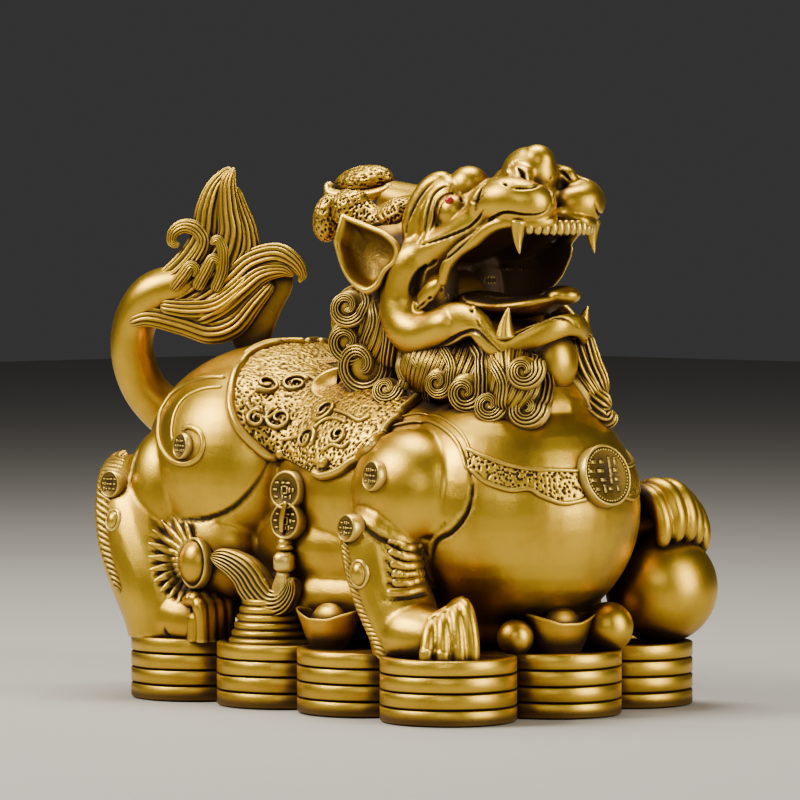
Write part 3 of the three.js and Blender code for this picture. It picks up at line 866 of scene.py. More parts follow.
class Cloth(Surface):      # a made sheet, for what lies on it
    def __init__(self, halves):
        self.places, self.outs = (np.vstack([half[k] for half in halves]) for k in (0, 1))
        self.tree = bodySkin.tree

    def laid(self, line, raised=0, soften=2):
        near = [np.linalg.norm(self.places - point, axis=1).argmin() for point in line]
        out = self.outs[near]
        place = line - out * ((line - self.places[near]) * out).sum(1, keepdims=True)
        return place + out * np.reshape(raised, (-1, 1)) * mm, out


# The teeth

teeth = {
    "fangs": [((70, -18, 167), (70.5, -18.5, 155), 3.3), ((64.5, -19, 126), (66.5, -19.5, 137.5), 4.0)],
    "row": [(72, -15.5, 164.3), (75, -9, 164), (76, 0, 164), (75, 9, 164), (72, 15.5, 164.3)],
    "count": 12, "size": (1.6, 1.6, 2.6), "bend": (-0.8, 0, 0),
}


def makeTeeth():
    bm = bmesh.new()
    for root, tip, radius in teeth["fangs"]:
        points = [[*Vector(root).lerp(Vector(tip), t) + Vector(teeth["bend"]) * math.sin(t * math.pi),
                   radius * (1 - t) ** 0.75] for t in (0, 0.2, 0.4, 0.6, 0.8, 0.93, 1)]
        for fang in bothSides(points):
            tube(bm, fang, out=(1, 0, 0), flat=0.85, rings=30, cap=0.4)
    for x, y, z in spline(teeth["row"], teeth["count"]):
        tilt = math.degrees(math.atan2(y, 30))
        egg(bm, (x, y, z), teeth["size"], (0, 0, tilt), around=16)
    finished(bm, "teeth", smoothBrass)


makeTeeth()
print("teeth made")


# The ears

ear = {
    "outline": [(337, 213), (352, 219), (372, 227), (389, 235), (400, 247), (399, 261), (388, 272),
                (380, 286), (369, 292), (357, 285), (347, 271), (340, 250), (336, 230)],
    "middle": (366, 255), "place": (8, -28, 155), "facing": (0.25, -1, 0.12),
    "profile": [(0.01, -10), (0.55, -9.5), (0.85, -5), (1.0, -1), (1.07, 1.2), (1.04, 2.6), (0.95, 2.9),
                (0.87, 2.0), (0.8, 0), (0.68, -2.6), (0.45, -4.2), (0.2, -4.9), (0.01, -5)],
    "reach": 14, "hollow": 9.5, "around": 81, "start": 20,      # the loop starts inside the spline's ends
}


def makeEars():
    bm = bmesh.new()
    waxAndShadeLayer(bm)
    outline = np.array(onPlane(ear["outline"], ear["place"], ear["facing"]))
    middle = np.array(onPlane([ear["middle"]], ear["place"], ear["facing"]))[0]
    outline = spline(np.vstack([outline[-2:], outline, outline[:2]]), 121)
    loop = outline[ear["start"]:ear["start"] + ear["around"]]
    facing = unitRows(np.array([ear["facing"]], float))[0]
    profile = spline([(share * ear["reach"], depth, 0) for share, depth in ear["profile"]], 60)
    profile = profile / [ear["reach"], 1, 1]
    for side in (-1, 1):
        rows = np.array([middle + (loop - middle) * share + facing * depth for share, depth, _ in profile])
        rows = (rows * [1, -side, 1] + [0, 0, lift]) * mm
        before = set(bm.verts)
        skin(bm, rows)
        made = set(bm.verts) - before
        centre = Vector((flipped(middle, side) + [0, 0, lift]) * mm)
        axis = Vector(flipped(facing, side))
        bmesh.ops.recalc_face_normals(bm, faces=bm.faces)
        for vert in made:
            away = (vert.co - centre - axis * (vert.co - centre).dot(axis)).length / mm
            grain = 0.3 * noise.noise(vert.co * 1400)
            vert[waxAndShadeLayer(bm)] = min(max((ear["hollow"] - away) / 4, 0), 1) * (0.5 + grain)
    finished(bm, "ears", pittedBrass)


makeEars()
print("ears made")


# The horns: cast with a pitted skin

horns = {
    "near": [(414, 204, 4), (402, 214, 6.4), (390, 221, 6), (376, 222, 5.4), (362, 216, 6.2), (352, 207, 7),
             (346, 197, 5.6), (344, 189, 3)],
    "plane": ((0, -13, 171), (0.2, -1, 0)),
    "club": [(-27.5, -13, 167), (5.6, 5.2, 8.6), (0, 12, 0)],
    "bridge": [[-8, -13, 168, 4], [-16, -13, 169, 4.5], [-24, -13, 168, 4]],
    "far": [[14, 8, 169, 6.5], [-6, 10, 171.5, 7], [-24, 9, 175, 6]],
    "lobe": [(-31, 8, 179.5), (13.5, 7, 6), (0, -8, 0)],
    "lobeRim": [[-41, 1, 180, 1.6], [-40, 0, 176, 2], [-33, 1, 174.5, 2.2], [-25, 3, 174.8, 2.2],
                [-18, 5, 176.5, 1.8], [-15, 6, 179, 1.2]],
}


def makeHorns():
    bm = bmesh.new()
    layer = waxAndShadeLayer(bm)
    tube(bm, onPlane(horns["near"], *horns["plane"]), around=96, rings=120)
    tube(bm, horns["bridge"], around=64)
    egg(bm, *horns["club"], around=96)
    egg(bm, *horns["lobe"], around=110)
    bmesh.ops.recalc_face_normals(bm, faces=bm.faces)
    bm.normal_update()
    smoothRim = at(*horns["lobe"][0]).z - 1.5 * mm
    for vert in bm.verts:
        vert[layer] = 0 if vert.co.y > 0 and vert.co.z < smoothRim else pitDepth(vert.co)
        vert.co -= vert.normal * vert[layer] * pits["depth"] * mm
    finished(bm, "pittedHorns", pittedBrass)
    bm = bmesh.new()
    tube(bm, horns["far"], around=32)
    tube(bm, horns["lobeRim"])
    finished(bm, "smoothHorns", smoothBrass)


makeHorns()
print("horns made")


# Coins worn on the coat, with rows of shallow strokes where the real ones have an inscription

def discFrame(place, out):      # at this place, with Z outwards and Y upwards
    out = Vector(out).normalized()
    side = Vector((0, 0, 1)).cross(out).normalized()
    turned = Matrix((side, out.cross(side), out)).transposed().to_4x4()
    return Matrix.Translation(Vector(place)) @ turned


def strokes(bm, frameOf, radius, height, rows, seed, hole=0):
    chance = np.random.default_rng(seed)
    for row in range(rows):
        y = (row - (rows - 1) / 2) * 1.3 * radius / rows
        reach = math.sqrt(max(radius ** 2 * 0.6 - y * y, 0))
        x = -reach
        while x < reach:
            long, steep = chance.uniform(0.18, 0.34) * radius, chance.random() < 0.45
            size = (0.11 * radius, long, 0.5) if steep else (long, 0.11 * radius, 0.5)
            if max(abs(x + size[0] / 2), abs(y)) > hole:
                block(bm, frameOf @ Matrix.Translation(Vector((x, y, height)) * mm), size)
            x += size[0] + 0.16 * radius


def coin(bm, frameOf, radius, thick, seed, rim=0.16, rows=3, hole=0):
    inner, face = radius * (1 - rim), thick - 0.5
    profile = [(0, -2.5), (radius, -2.5), (radius, thick - 0.4), (radius - 0.3, thick), (inner + 0.25, thick),
               (inner, face), (0, face)]
    layer = waxAndShadeLayer(bm)
    made = spun(bm, profile, steps=40)
    for vert in made:
        vert[layer] = 0.5 if abs(vert.co.z - face * mm) < 1e-5 else 0
    bmesh.ops.transform(bm, matrix=frameOf, verts=made)
    strokes(bm, frameOf, inner, face, rows, seed, hole)
    for turn in range(4 if hole else 0):      # the edges of the square hole
        turned = frameOf @ Matrix.Rotation(turn * math.pi / 2, 4, "Z")
        block(bm, turned @ Matrix.Translation(Vector((0, hole, face)) * mm), (2 * hole, 0.35, 1.1))


charms = {
    "worn": [      # picture point, radius, thickness, the way it faces, seed
        ((183, 446), 4.6, 1.6, (-0.2, -1, 0.12), 3),
        ((374, 476), 5.2, 1.7, (-0.2, -1, 0.12), 5),
        ((352, 528), 4.7, 3.0, (-0.1, -1, 0.05), 7),
        ((115, 484), 4.8, 3.2, (0.05, -1, 0.05), 9),
    ],
    "hanging": [((-12, -47.5, 63), 6.4, 2.0, 15), ((-13, -46, 73.5), 6.7, 2.6, 13)],
    "hangingOut": (0.12, -1, 0.1), "hole": 1.2,
    "bar": [[-11, -49.5, 70, 0.9], [-12, -50.3, 64, 1.1], [-12.5, -50, 59, 0.9]],
    "knot": [((-12.5, -48.5, 55.5), (2.6, 2.6, 2.0)), ((-12.5, -48.5, 54), (3.4, 2.6, 1.6))],
    "block": ((-12, -49, 49), 7.0, 6.6),
    "tassel": {"top": (-12, -49.5, 46), "bottom": (-13.5, -50, 33), "strings": 9, "spread": 3.2},
}


def makeCharms():
    bm = bmesh.new()
    waxAndShadeLayer(bm)
    for pixel, radius, thick, out, seed in charms["worn"]:
        for side in (-1, 1):
            place, _ = placed(pixel, side)
            coin(bm, discFrame(place, flipped(out, side)), radius, thick, seed)
    for place, radius, thick, seed in charms["hanging"]:
        coin(bm, discFrame(at(*place), charms["hangingOut"]), radius, thick, seed, hole=charms["hole"])
    tube(bm, charms["bar"], out=(0, -1, 0), flat=0.7)
    for place, radii in charms["knot"]:
        egg(bm, place, radii, around=24)
    place, wide, tall = charms["block"]
    bead = block(bm, Matrix.Translation(at(*place)) @ Matrix.Rotation(0.6, 4, "Z"), (wide, wide, tall))
    edges = list({edge for vert in bead for edge in vert.link_edges})
    bmesh.ops.bevel(bm, geom=edges, offset=1.3 * mm, segments=1, profile=0.5, affect="EDGES", material=-1)
    hang = charms["tassel"]
    for k in range(hang["strings"]):
        turn = math.pi * k / (hang["strings"] - 1)
        side = Vector((math.cos(turn), -0.6 * math.sin(turn), 0)) * hang["spread"]
        top, low = Vector(hang["top"]) + side * 0.4, Vector(hang["bottom"]) + side
        middle = top.lerp(low, 0.5) + side * 0.25
        tube(bm, [[*top, 0.9], [*middle, 1.1], [*low, 0.8]], rings=16, around=10)
    finished(bm, "charms", carvedBrass)


makeCharms()
print("charms made")


# The swirls, ridges, studs and braids of the coat

coat = {
    "ridges": [      # picture points, half width, height, both sides
        ([(226, 378), (205, 378), (185, 385), (170, 397), (160, 415), (158, 435), (163, 451), (173, 461),
          (186, 464), (198, 458), (203, 445), (200, 433), (190, 427), (181, 430)], 1.0, 1.0, True),
        ([(222, 387), (200, 390), (185, 398), (176, 411), (172, 430), (173, 441)], 0.7, 0.7, True),
        ([(345, 470), (354, 454), (372, 436), (398, 425), (425, 422), (445, 430), (459, 446), (467, 470)],
         0.7, 0.8, True),
        ([(338, 466), (348, 449), (368, 430), (397, 418), (427, 415), (450, 423), (466, 440), (474, 466)],
         0.5, 0.5, True),
    ],
    "studs": [((113, 520), 2.6), ((359, 574), 3.3)],
    "braid": [(345, 541), (348, 560), (352, 580), (359, 602), (368, 624), (378, 644), (388, 659)],
    "edge": [(126, 444), (117, 457), (110, 474), (106, 495), (104, 520), (106, 545), (112, 567), (121, 592)],
    "boss": {"pixel": (195, 563), "radius": 6.6, "high": 4.2,
             "ring": [(6.6, -2), (7.6, -2), (7.6, 0.9), (7.2, 1.4), (6.8, 1), (6.6, -2)]},
    "wave": {"plane": ((-45, -59, 50), (0.24, -0.97, 0)),
             "path": [(211, 556), (228, 561), (244, 573), (255, 590), (267, 602), (280, 602), (289, 592),
                      (292, 577)],
             "wide": [3.2, 4.2, 5.4, 6.4, 6, 5, 3.6, 2.4]},
    "folds": [      # between the wrinkles over the near paw
        [(388, 540), (407, 547), (423, 547)], [(388, 551), (408, 557), (423, 555)],
        [(390, 563), (407, 567), (424, 563)], [(391, 573), (407, 576), (424, 572)],
        [(392, 583), (408, 583), (424, 579)], [(386, 593), (407, 592), (426, 588)],
    ],
}


def makeCoat():
    bm = bmesh.new()
    for pixels, wide, high, both in coat["ridges"]:
        for side in (-1, 1) if both else (-1,):
            ridge(bm, pixels, wide, high, side, 80)
    for pixel, radius in coat["studs"]:
        for side in (-1, 1):
            frameOf = discFrame(*placed(pixel, side)) @ Matrix.Diagonal((1, 1.2, 1, 1))
            ball(bm, frameOf, (radius, radius, 0.75 * radius), 24)
            spun(bm, [(radius, -1.5), (radius + 0.9, -1.5), (radius + 0.9, 0.3), (radius + 0.3, 0.7),
                      (radius, 0.4), (radius, -1.5)], frameOf, 32)
    for side in (-1, 1):
        ridge(bm, coat["braid"], np.linspace(1.7, 2.1, 110), 1.2, side, 110, towards=1, soften=8, ridges=2,
              groove=0.6, slant=1.7, sink=2)
    for pixels in coat["folds"]:
        ridge(bm, pixels, 1.5, 0.9, -1, 40, soften=12)
    finished(bm, "coatRelief", smoothBrass)


def makeHindRelief():
    bm = bmesh.new()
    boss, wave = coat["boss"], coat["wave"]
    for side in (-1, 1):
        place, _ = placed(boss["pixel"], side)
        frameOf = discFrame(place, (-0.12, side, 0.05))
        ball(bm, frameOf, (boss["radius"], boss["radius"] * 1.2, boss["high"] + 1))
        spun(bm, boss["ring"], frameOf @ Matrix.Diagonal((1, 1.18, 1, 1)))
        for k in range(fan["count"]):
            line = flipped(spline(skinOf.seen(fanLine(k / (fan["count"] - 1), 1, 1)), 16), side)
            centre, normal = skinOf.laid(line, 0.1, 4)
            shape = np.sin(np.linspace(0.3, 1, 16) * math.pi) ** 0.8 + 0.03
            ribbon(bm, centre, normal, 1.5 * shape, 1.0 * shape, ridges=1)
        line = metres(spline(onPlane(wave["path"], *wave["plane"]), 120))
        wide = np.interp(np.linspace(0, 1, 120), np.linspace(0, 1, len(wave["wide"])), wave["wide"])
        ribbon(bm, flipped(line, side), flipped(wave["plane"][1], side), wide, 2.4, ridges=7, groove=0.5,
               sink=2.6)
    finished(bm, "hindRelief", carvedBrass)


def makeRearEdge():
    bm = bmesh.new()
    for side in (-1, 1):
        wide = np.interp(np.linspace(0, 1, 150), [0, 0.2, 0.5, 1], [4, 4.6, 3.6, 1.6])
        ridge(bm, coat["edge"], wide, 1.4, side, 150, towards=0.8, soften=8, ridges=2, groove=0.7,
              slant=1.35, sink=2)
    finished(bm, "rearEdge", carvedBrass)


makeCoat()
makeHindRelief()
makeRearEdge()
print("coat made")


# The saddle cloth: pitted all over, with a rolled border, clouds and waves

saddle = {
    "rear": [(-52, 0, 123), (-56, -8, 122), (-58, -15, 121), (-56, -26, 118), (-50, -37, 113),
             (-43, -45, 106), (-40, -48, 101), (-35, -48, 95), (-30, -46, 89), (-25, -42, 86)],
    "front": [(18, 0, 112), (22, -12, 109), (24, -22, 104), (23, -29, 100), (22, -34, 95), (16, -41, 86),
              (10, -44, 82), (4, -45, 80), (-3, -44, 80)],
    "grid": (150, 180), "raised": 0.8, "axis": 74,
    "rearBorder": [(283, 345), (262, 350), (246, 360), (235, 375), (231, 395), (232, 412), (240, 430),
                   (254, 445), (268, 456), (278, 457)],
    "frontBorder": [(402, 416), (385, 432), (372, 447), (358, 460), (340, 471), (324, 476), (314, 472)],
    "scrolls": [((284, 455), 2.0), ((326, 464), 2.0)],
    "clouds": [      # the middle of each scroll in the picture, its reach in mm and where it starts, degrees
        ((266, 386), 4.6, 200), ((296, 394), 5.2, 30), ((282, 424), 5.0, 120), ((326, 412), 4.8, 250),
        ((308, 440), 4.6, 330), ((340, 436), 3.8, 140), ((256, 420), 3.4, 60),
    ],
    "waves": [
        [(246, 404), (256, 416), (268, 420), (280, 416)], [(284, 384), (296, 380), (308, 386), (318, 394)],
        [(316, 430), (326, 422), (336, 420), (348, 424)], [(286, 444), (296, 440), (306, 436)],
        [(324, 452), (334, 446), (344, 448), (352, 442)], [(336, 412), (348, 416), (360, 422), (372, 418)],
    ],
    "knob": [(-24, 0, 113), (10, 8.5, 7.5)],
    "pommel": [(-19, -9.5, 109.5), (10, 8, 5.5), (0, 18, 20)],
    "bowl": {"pixel": (340, 388), "facing": (0.1, -0.75, 0.7), "shape": (1.25, 0.85, 1),
             "profile": [(0, -0.2), (4, 0.1), (6.4, 1.2), (7.6, 2.4), (8.3, 2.7), (8.8, 2.2), (8.9, 1),
                         (8.4, -2.5)]},
}


def makeSaddle():
    bm = bmesh.new()
    along, across = saddle["grid"]
    halves = []
    for side in (-1, 1):
        rear, front = (flipped(metres(saddle[edge]), side) for edge in ("rear", "front"))
        halves.append(sheet(bm, rear, front, along, across, saddle["raised"], axis=saddle["axis"]))
    finished(bm, "saddleCloth", pittedBrass)
    cloth = Cloth(halves)
    bm = bmesh.new()
    egg(bm, *saddle["knob"])
    (x, y, z), radii, (tilt, pitch, turn) = saddle["pommel"]
    for side in (-1, 1):
        egg(bm, (x, -side * y, z), radii, (tilt, pitch, -side * turn))
        for edge in ("rearBorder", "frontBorder"):
            ridge(bm, saddle[edge], 1.6, 2.3, side, 90, raised=0.2, skin=bodySkin)
        rear, front = (flipped(metres(saddle[edge][:4]), side) for edge in ("rear", "front"))
        for line in (rear, front):
            centre, out = bodySkin.laid(spline(line, 50), 0.2)
            ribbon(bm, centre, out, 1.6, 2.3)
        bowl = saddle["bowl"]
        place, _ = placed(bowl["pixel"], side, cloth)
        frameOf = discFrame(place, flipped(bowl["facing"], side))
        spun(bm, bowl["profile"], frameOf @ Matrix.Diagonal((*bowl["shape"], 1)))
        for pixel, radius in saddle["scrolls"]:
            place, out = placed(pixel, side)
            ball(bm, discFrame(place + out * 1.2 * mm, out), (radius,) * 3, 24)
    finished(bm, "saddleBorder", smoothBrass)
    bm = bmesh.new()
    for side in (-1, 1):
        for pixel, reach, turn in saddle["clouds"]:
            place, out = placed(pixel, side, cloth)
            frameOf = discFrame(place + out * 0.9 * mm, out)
            t = np.linspace(0, 1, 60)
            angle = (turn + 520 * t) * math.pi / 180 * -side
            spots = [frameOf @ Vector((math.cos(a) * r, math.sin(a) * r, 0)) for a, r in
                     zip(angle, reach * mm * (1 - 0.8 * t))]
            ribbon(bm, np.array(spots), out, np.linspace(0.9, 0.5, 60), 1.1, sink=1.5)
        for pixels in saddle["waves"]:
            ridge(bm, pixels, 0.8, 1.0, side, 40, raised=0.8, skin=cloth)
    finished(bm, "saddleRelief", carvedBrass)


# The chest strap and the medallion

strap = {
    "top": [(466, 449), (484, 457), (510, 466), (540, 470), (582, 472)],
    "bottom": [(468, 466), (478, 476), (488, 483), (510, 490), (529, 489), (542, 496), (563, 503),
               (586, 499)],
    "grid": (150, 26),
    "medallion": {"place": (91.7, 0, 80.5), "radius": 10.6, "thick": 2.6, "out": (1, -0.05, 0.26),
                  "beads": 48, "bead": 0.45},
}


def makeStrap():
    bm = bmesh.new()
    top, bottom = (skinOf.seen(strap[edge]) for edge in ("top", "bottom"))
    for side in (-1, 1):
        sheet(bm, flipped(top, side), flipped(bottom, side), *strap["grid"], 0.7)
    finished(bm, "strap", pittedBrass)
    bm = bmesh.new()
    for side in (-1, 1):
        for edge in ("top", "bottom"):
            ridge(bm, strap[edge], 0.9, 1.3, side, 90)
    medal = strap["medallion"]
    frameOf = discFrame(at(*medal["place"]), medal["out"])
    coin(bm, frameOf, medal["radius"], medal["thick"], 11, rim=0.1, rows=4)
    for bead in range(medal["beads"]):
        turn = 2 * math.pi * bead / medal["beads"]
        spot = Vector((math.cos(turn), math.sin(turn), 0)) * medal["radius"] * 0.84 * mm
        spot.z = (medal["thick"] - medal["bead"]) * mm
        bmesh.ops.create_icosphere(bm, subdivisions=1, radius=medal["bead"] * mm,
                                   matrix=frameOf @ Matrix.Translation(spot))
    finished(bm, "strapRims", carvedBrass)


makeStrap()
print("strap made")


# Hair: combed strands that follow the mane's mass, ending in curls

strand = {"high": 1.5, "along": 44, "across": 9}      # mm, and points along and across it


def combed(bm, guides, strands, side=-1):
    # a grooved sheet over the mane between guide lines, its strands running from the first point to the last
    high, along, across = strand["high"], strand["along"], strand["across"]
    fanned = np.array([spline(maneSkin.seen(guide) if len(guide[0]) == 2 else metres(guide), along)
                       for guide in guides])
    count = strands * across + 1
    lines = np.array([spline(fanned[:, k], count) for k in range(along)])
    laid = maneSkin.laid(flipped(lines.reshape(-1, 3), side), soften=0)
    rows, outs = (spots.reshape(along, count, 3) for spots in laid)
    rows, outs = smoothedRows(rows, 14), unitRows(smoothedRows(outs, 14))
    turn = math.pi * strands * np.linspace(0, 1, count)
    chance = np.random.default_rng(strands)
    tall = 0.75 + 0.35 * chance.random(strands + 1)[(np.arange(count) // across)]
    wave = (0.3 + 0.5 * np.abs(np.sin(turn)) ** 0.6 + 0.25 * np.abs(np.sin(3 * turn))) * tall
    wave[[0, -1]] = -0.6
    ends = np.interp(np.linspace(0, 1, along), [0, 0.06, 0.8, 1], [-0.3, 1, 1, -0.3])[:, None]
    place = rows + outs * (wave[None] * high * ends)[..., None] * mm
    wax = np.clip(1 - np.abs(np.sin(turn)) / 0.55, 0, 1)
    layer = waxAndShadeLayer(bm)
    for vert, i, j in gridVerts(bm, along, count):
        vert.co, vert[layer] = place[i, j], wax[j]


curl = {"turns": 1.25, "ridges": 4, "groove": 0.6, "high": 0.8, "count": 26, "facing": (0.45, -0.85, 0.1)}


def lock(bm, path, centre, wide, side):
    # a lock that follows its path over the mane and rolls up in a spiral round the centre
    turns, count = curl["turns"], curl["count"]
    middle, up = (hit[0] for hit in maneSkin.laid(flipped([centre], side), wide, 0))
    up = unitRows(up * 0.5 + flipped(curl["facing"], side))
    place, out = maneSkin.laid(flipped(spline(path, count), side), np.linspace(0.1, 0.6, count) * wide)
    arm = place[-1] - middle
    arm -= up * (arm @ up)
    reach = np.linalg.norm(arm)
    arm, across = arm / reach, np.cross(up, arm / reach)
    sense = 1 if (place[-1] - place[-2]) @ across > 0 else -1
    bent = np.linspace(0, 1, count)[:, None] ** 2
    place = place + bent * (middle + arm * reach - place[-1])
    out = unitRows(out * (1 - bent) + up * bent)
    t = np.linspace(0, 1, int(count * turns))[1:, None]
    angle = 2 * math.pi * turns * t
    spiral = middle + (arm * np.cos(angle) + across * sense * np.sin(angle)) * reach * (1 - 0.86 * t)
    spiral = spiral + up * t * 0.5 * wide * mm
    width = np.concatenate([np.interp(np.linspace(0, 1, count), [0, 0.3], [0.4 * wide, wide]),
                            np.linspace(wide, max(0.15 * reach / mm, 0.4), len(t))])
    ribbon(bm, np.vstack([place, spiral]), np.vstack([out, np.repeat(up[None], len(t), 0)]), width,
           curl["high"] * width, curl["ridges"], curl["groove"], sink=1.4, perRidge=5)
    dome = discFrame(middle - up * 0.6 * wide * mm, up) @ Matrix.Diagonal((reach, reach, 0.9 * wide * mm, 1))
    bmesh.ops.create_uvsphere(bm, u_segments=32, v_segments=12, radius=1, matrix=dome)


hair = {
    "fans": [      # guide lines from root to end, and how many strands lie between them
        ([[(352, 286), (344, 300), (340, 318), (342, 334)], [(368, 290), (362, 312), (354, 334), (346, 352)],
          [(384, 292), (382, 318), (372, 342), (358, 364)], [(392, 318), (392, 342), (384, 364), (372, 384)]],
         11),
        ([[(394, 330), (392, 348), (386, 368), (376, 386)], [(412, 346), (412, 364), (404, 384), (394, 404)],
          [(432, 344), (431, 364), (424, 382), (418, 396)], [(452, 336), (453, 358), (449, 376), (441, 392)],
          [(474, 328), (479, 350), (480, 374), (472, 400)], [(494, 342), (502, 366), (504, 390), (496, 416)],
          [(518, 336), (525, 362), (530, 390), (522, 424)], [(536, 334), (544, 362), (547, 392), (540, 424)]],
         30),
    ],
    "curls": [      # the picture points of a lock, the middle of its curl, and half its width in mm
        ([(362, 291), (369, 303), (364, 316)], (350, 308), 2.2),
        ([(374, 300), (376, 322), (368, 344)], (350, 337), 2.6),
        ([(388, 312), (392, 335), (388, 362)], (369, 360), 3.0),
        ([(400, 352), (405, 374), (401, 394)], (388, 395), 2.3),
        ([(414, 354), (424, 370), (423, 386)], (411, 385), 2.2),
        ([(440, 346), (452, 364), (452, 380)], (441, 381), 1.9),
        ([(470, 344), (484, 362), (484, 386)], (468, 388), 2.8),
        ([(492, 356), (504, 382), (504, 404)], (491, 408), 2.3),
        ([(518, 344), (534, 356), (536, 372)], (521, 374), 2.7),
        ([(536, 362), (546, 388), (542, 414)], (525, 415), 3.0),
    ],
    "back": ([[(-4, y, 149), (-16, y * 1.1, 140), (-21, y * 1.15, 127), (-17, y * 1.15, 114)]
              for y in (-21, -14, -7, 0, 7, 14, 21)], 26),      # in mm
    "beard": [      # picture points with the radius in mm, on a plane before the far lock of the mane
        [(574, 338, 3), (577, 354, 4), (583, 370, 4.4), (592, 385, 3.8), (601, 396, 2.4)],
        [(585, 334, 2.6), (589, 350, 3.2), (594, 365, 3.2), (600, 378, 3), (605, 390, 2)],
        [(564, 378, 2), (572, 392, 3.6), (584, 405, 4.6), (598, 416, 4.6), (608, 418, 3.6), (613, 410, 2.4)],
        [(576, 380, 2), (588, 392, 3.6), (601, 402, 4), (611, 408, 3)],
    ],
    "beardPlane": ((70.5, 12, 113), (0.7, -0.7, 0)),
}


def makeHair():
    for side, name in ((-1, "maneRight"), (1, "maneLeft")):
        bm = bmesh.new()
        for guides, count in hair["fans"]:
            combed(bm, guides, count, side)
        if side < 0:
            combed(bm, *hair["back"])
        for pixels, centre, wide in hair["curls"][:None if side < 0 else -3]:
            lock(bm, maneSkin.seen(pixels), maneSkin.seen([centre])[0], wide, side)
        if side > 0:
            for pixels in hair["beard"]:
                tube(bm, onPlane(pixels, *hair["beardPlane"]), out=hair["beardPlane"][1], flat=0.8,
                     rings=70, around=72, flutes=10, depth=0.3, twist=0.02)
        finished(bm, name, carvedBrass)


makeHair()
makeSaddle()
print("mane and saddle made")


# The paws

paws = {
    "heel": (58, -42), "bands": (12.6, 15.6),
    "toes": [(-61, 35), (-46.5, 37), (-32.5, 39.5), (-20, 41.5)],      # direction and knuckle height
    "toe": [(4, -6, 2.4), (10, -3.2, 2.4), (14, -2.8, 2.6), (17.4, -4.4, 2.5), (20.2, -9, 2.5),
            (21.8, -14, 2.4)],      # from the heel outwards: reach, height to the knuckle and radius
    "toeTip": [(22.2, 24, 2.4), (22, 16, 2.4)],
    "hindToe": [(-14, 5, 30, 2.6), (-6, 1, 34, 2.6), (-2.5, 0, 35, 2.8), (-1, 0, 34, 2.2),
                (0.4, 0, 32.5, 2.7), (1.6, 0, 28, 2.2), (1.6, 0, 17, 2.3)],
    "behindToe": [(-3, 1.6, z, 3.5) for z in (31, 23, 14)],
    "farToe": [(-15, 68, 1, 3.6), (-7, 74, 1, 3.8), (1, 73, 1, 3.7), (5.5, 66, 1, 3.4), (5.5, 59.5, 1, 2.8),
               (3.5, 56, 0.5, 2)],      # reach, height, share of the toe's drop, radius
    "voxel": 0.55,
}


def makePaws():
    bm = bmesh.new()
    x, y = paws["heel"]
    for turn, top in paws["toes"]:
        along, across = math.cos(math.radians(turn)), math.sin(math.radians(turn))
        heights = [(r, top + z, radius) for r, z, radius in paws["toe"]] + paws["toeTip"]
        line = [[x + r * along, y + r * across, z, radius] for r, z, radius in heights]
        tube(bm, line, out=(along, across, 0.3), rings=60)
    first, last = paws["toes"][0], paws["toes"][-1]
    for reach in paws["bands"]:
        turns = np.radians(np.linspace(first[0] - 6, last[0] + 6, 9))
        tops = np.linspace(first[1] - 0.4, last[1] - 0.2, 9) - (0.6 if reach > 14 else 0)
        band = [[x + reach * math.cos(a), y + reach * math.sin(a), top, 0.8] for a, top in zip(turns, tops)]
        tube(bm, band, rings=60)
    for toe in range(4):
        across, tip = -60 + 4 * toe, -43.5 + 0.3 * toe
        for points in (paws["hindToe"], paws["behindToe"]):
            for line in bothSides([(tip + x, across + y, z, radius) for x, y, z, radius in points]):
                tube(bm, line, out=(1, 0, 0))
    cutBelow(bm)
    fused(bm, "paws", smoothBrass, paws["voxel"], 3)
    bm = bmesh.new()
    for toe in range(5):
        across, reach, drop = 41 + toe * 5.3, 79 - abs(toe - 1.6) * 1.8, abs(toe - 1.4) ** 1.5 * 1.5
        tube(bm, [(reach + x, across, z - drop * share, radius) for x, z, share, radius in paws["farToe"]],
             out=(1, 0, 0.3), rings=60, around=40)
    fused(bm, "farPaw", carvedBrass, paws["voxel"], 2)


makePaws()
print("paws made")


# The tail: a smooth tube that opens into a grooved flame

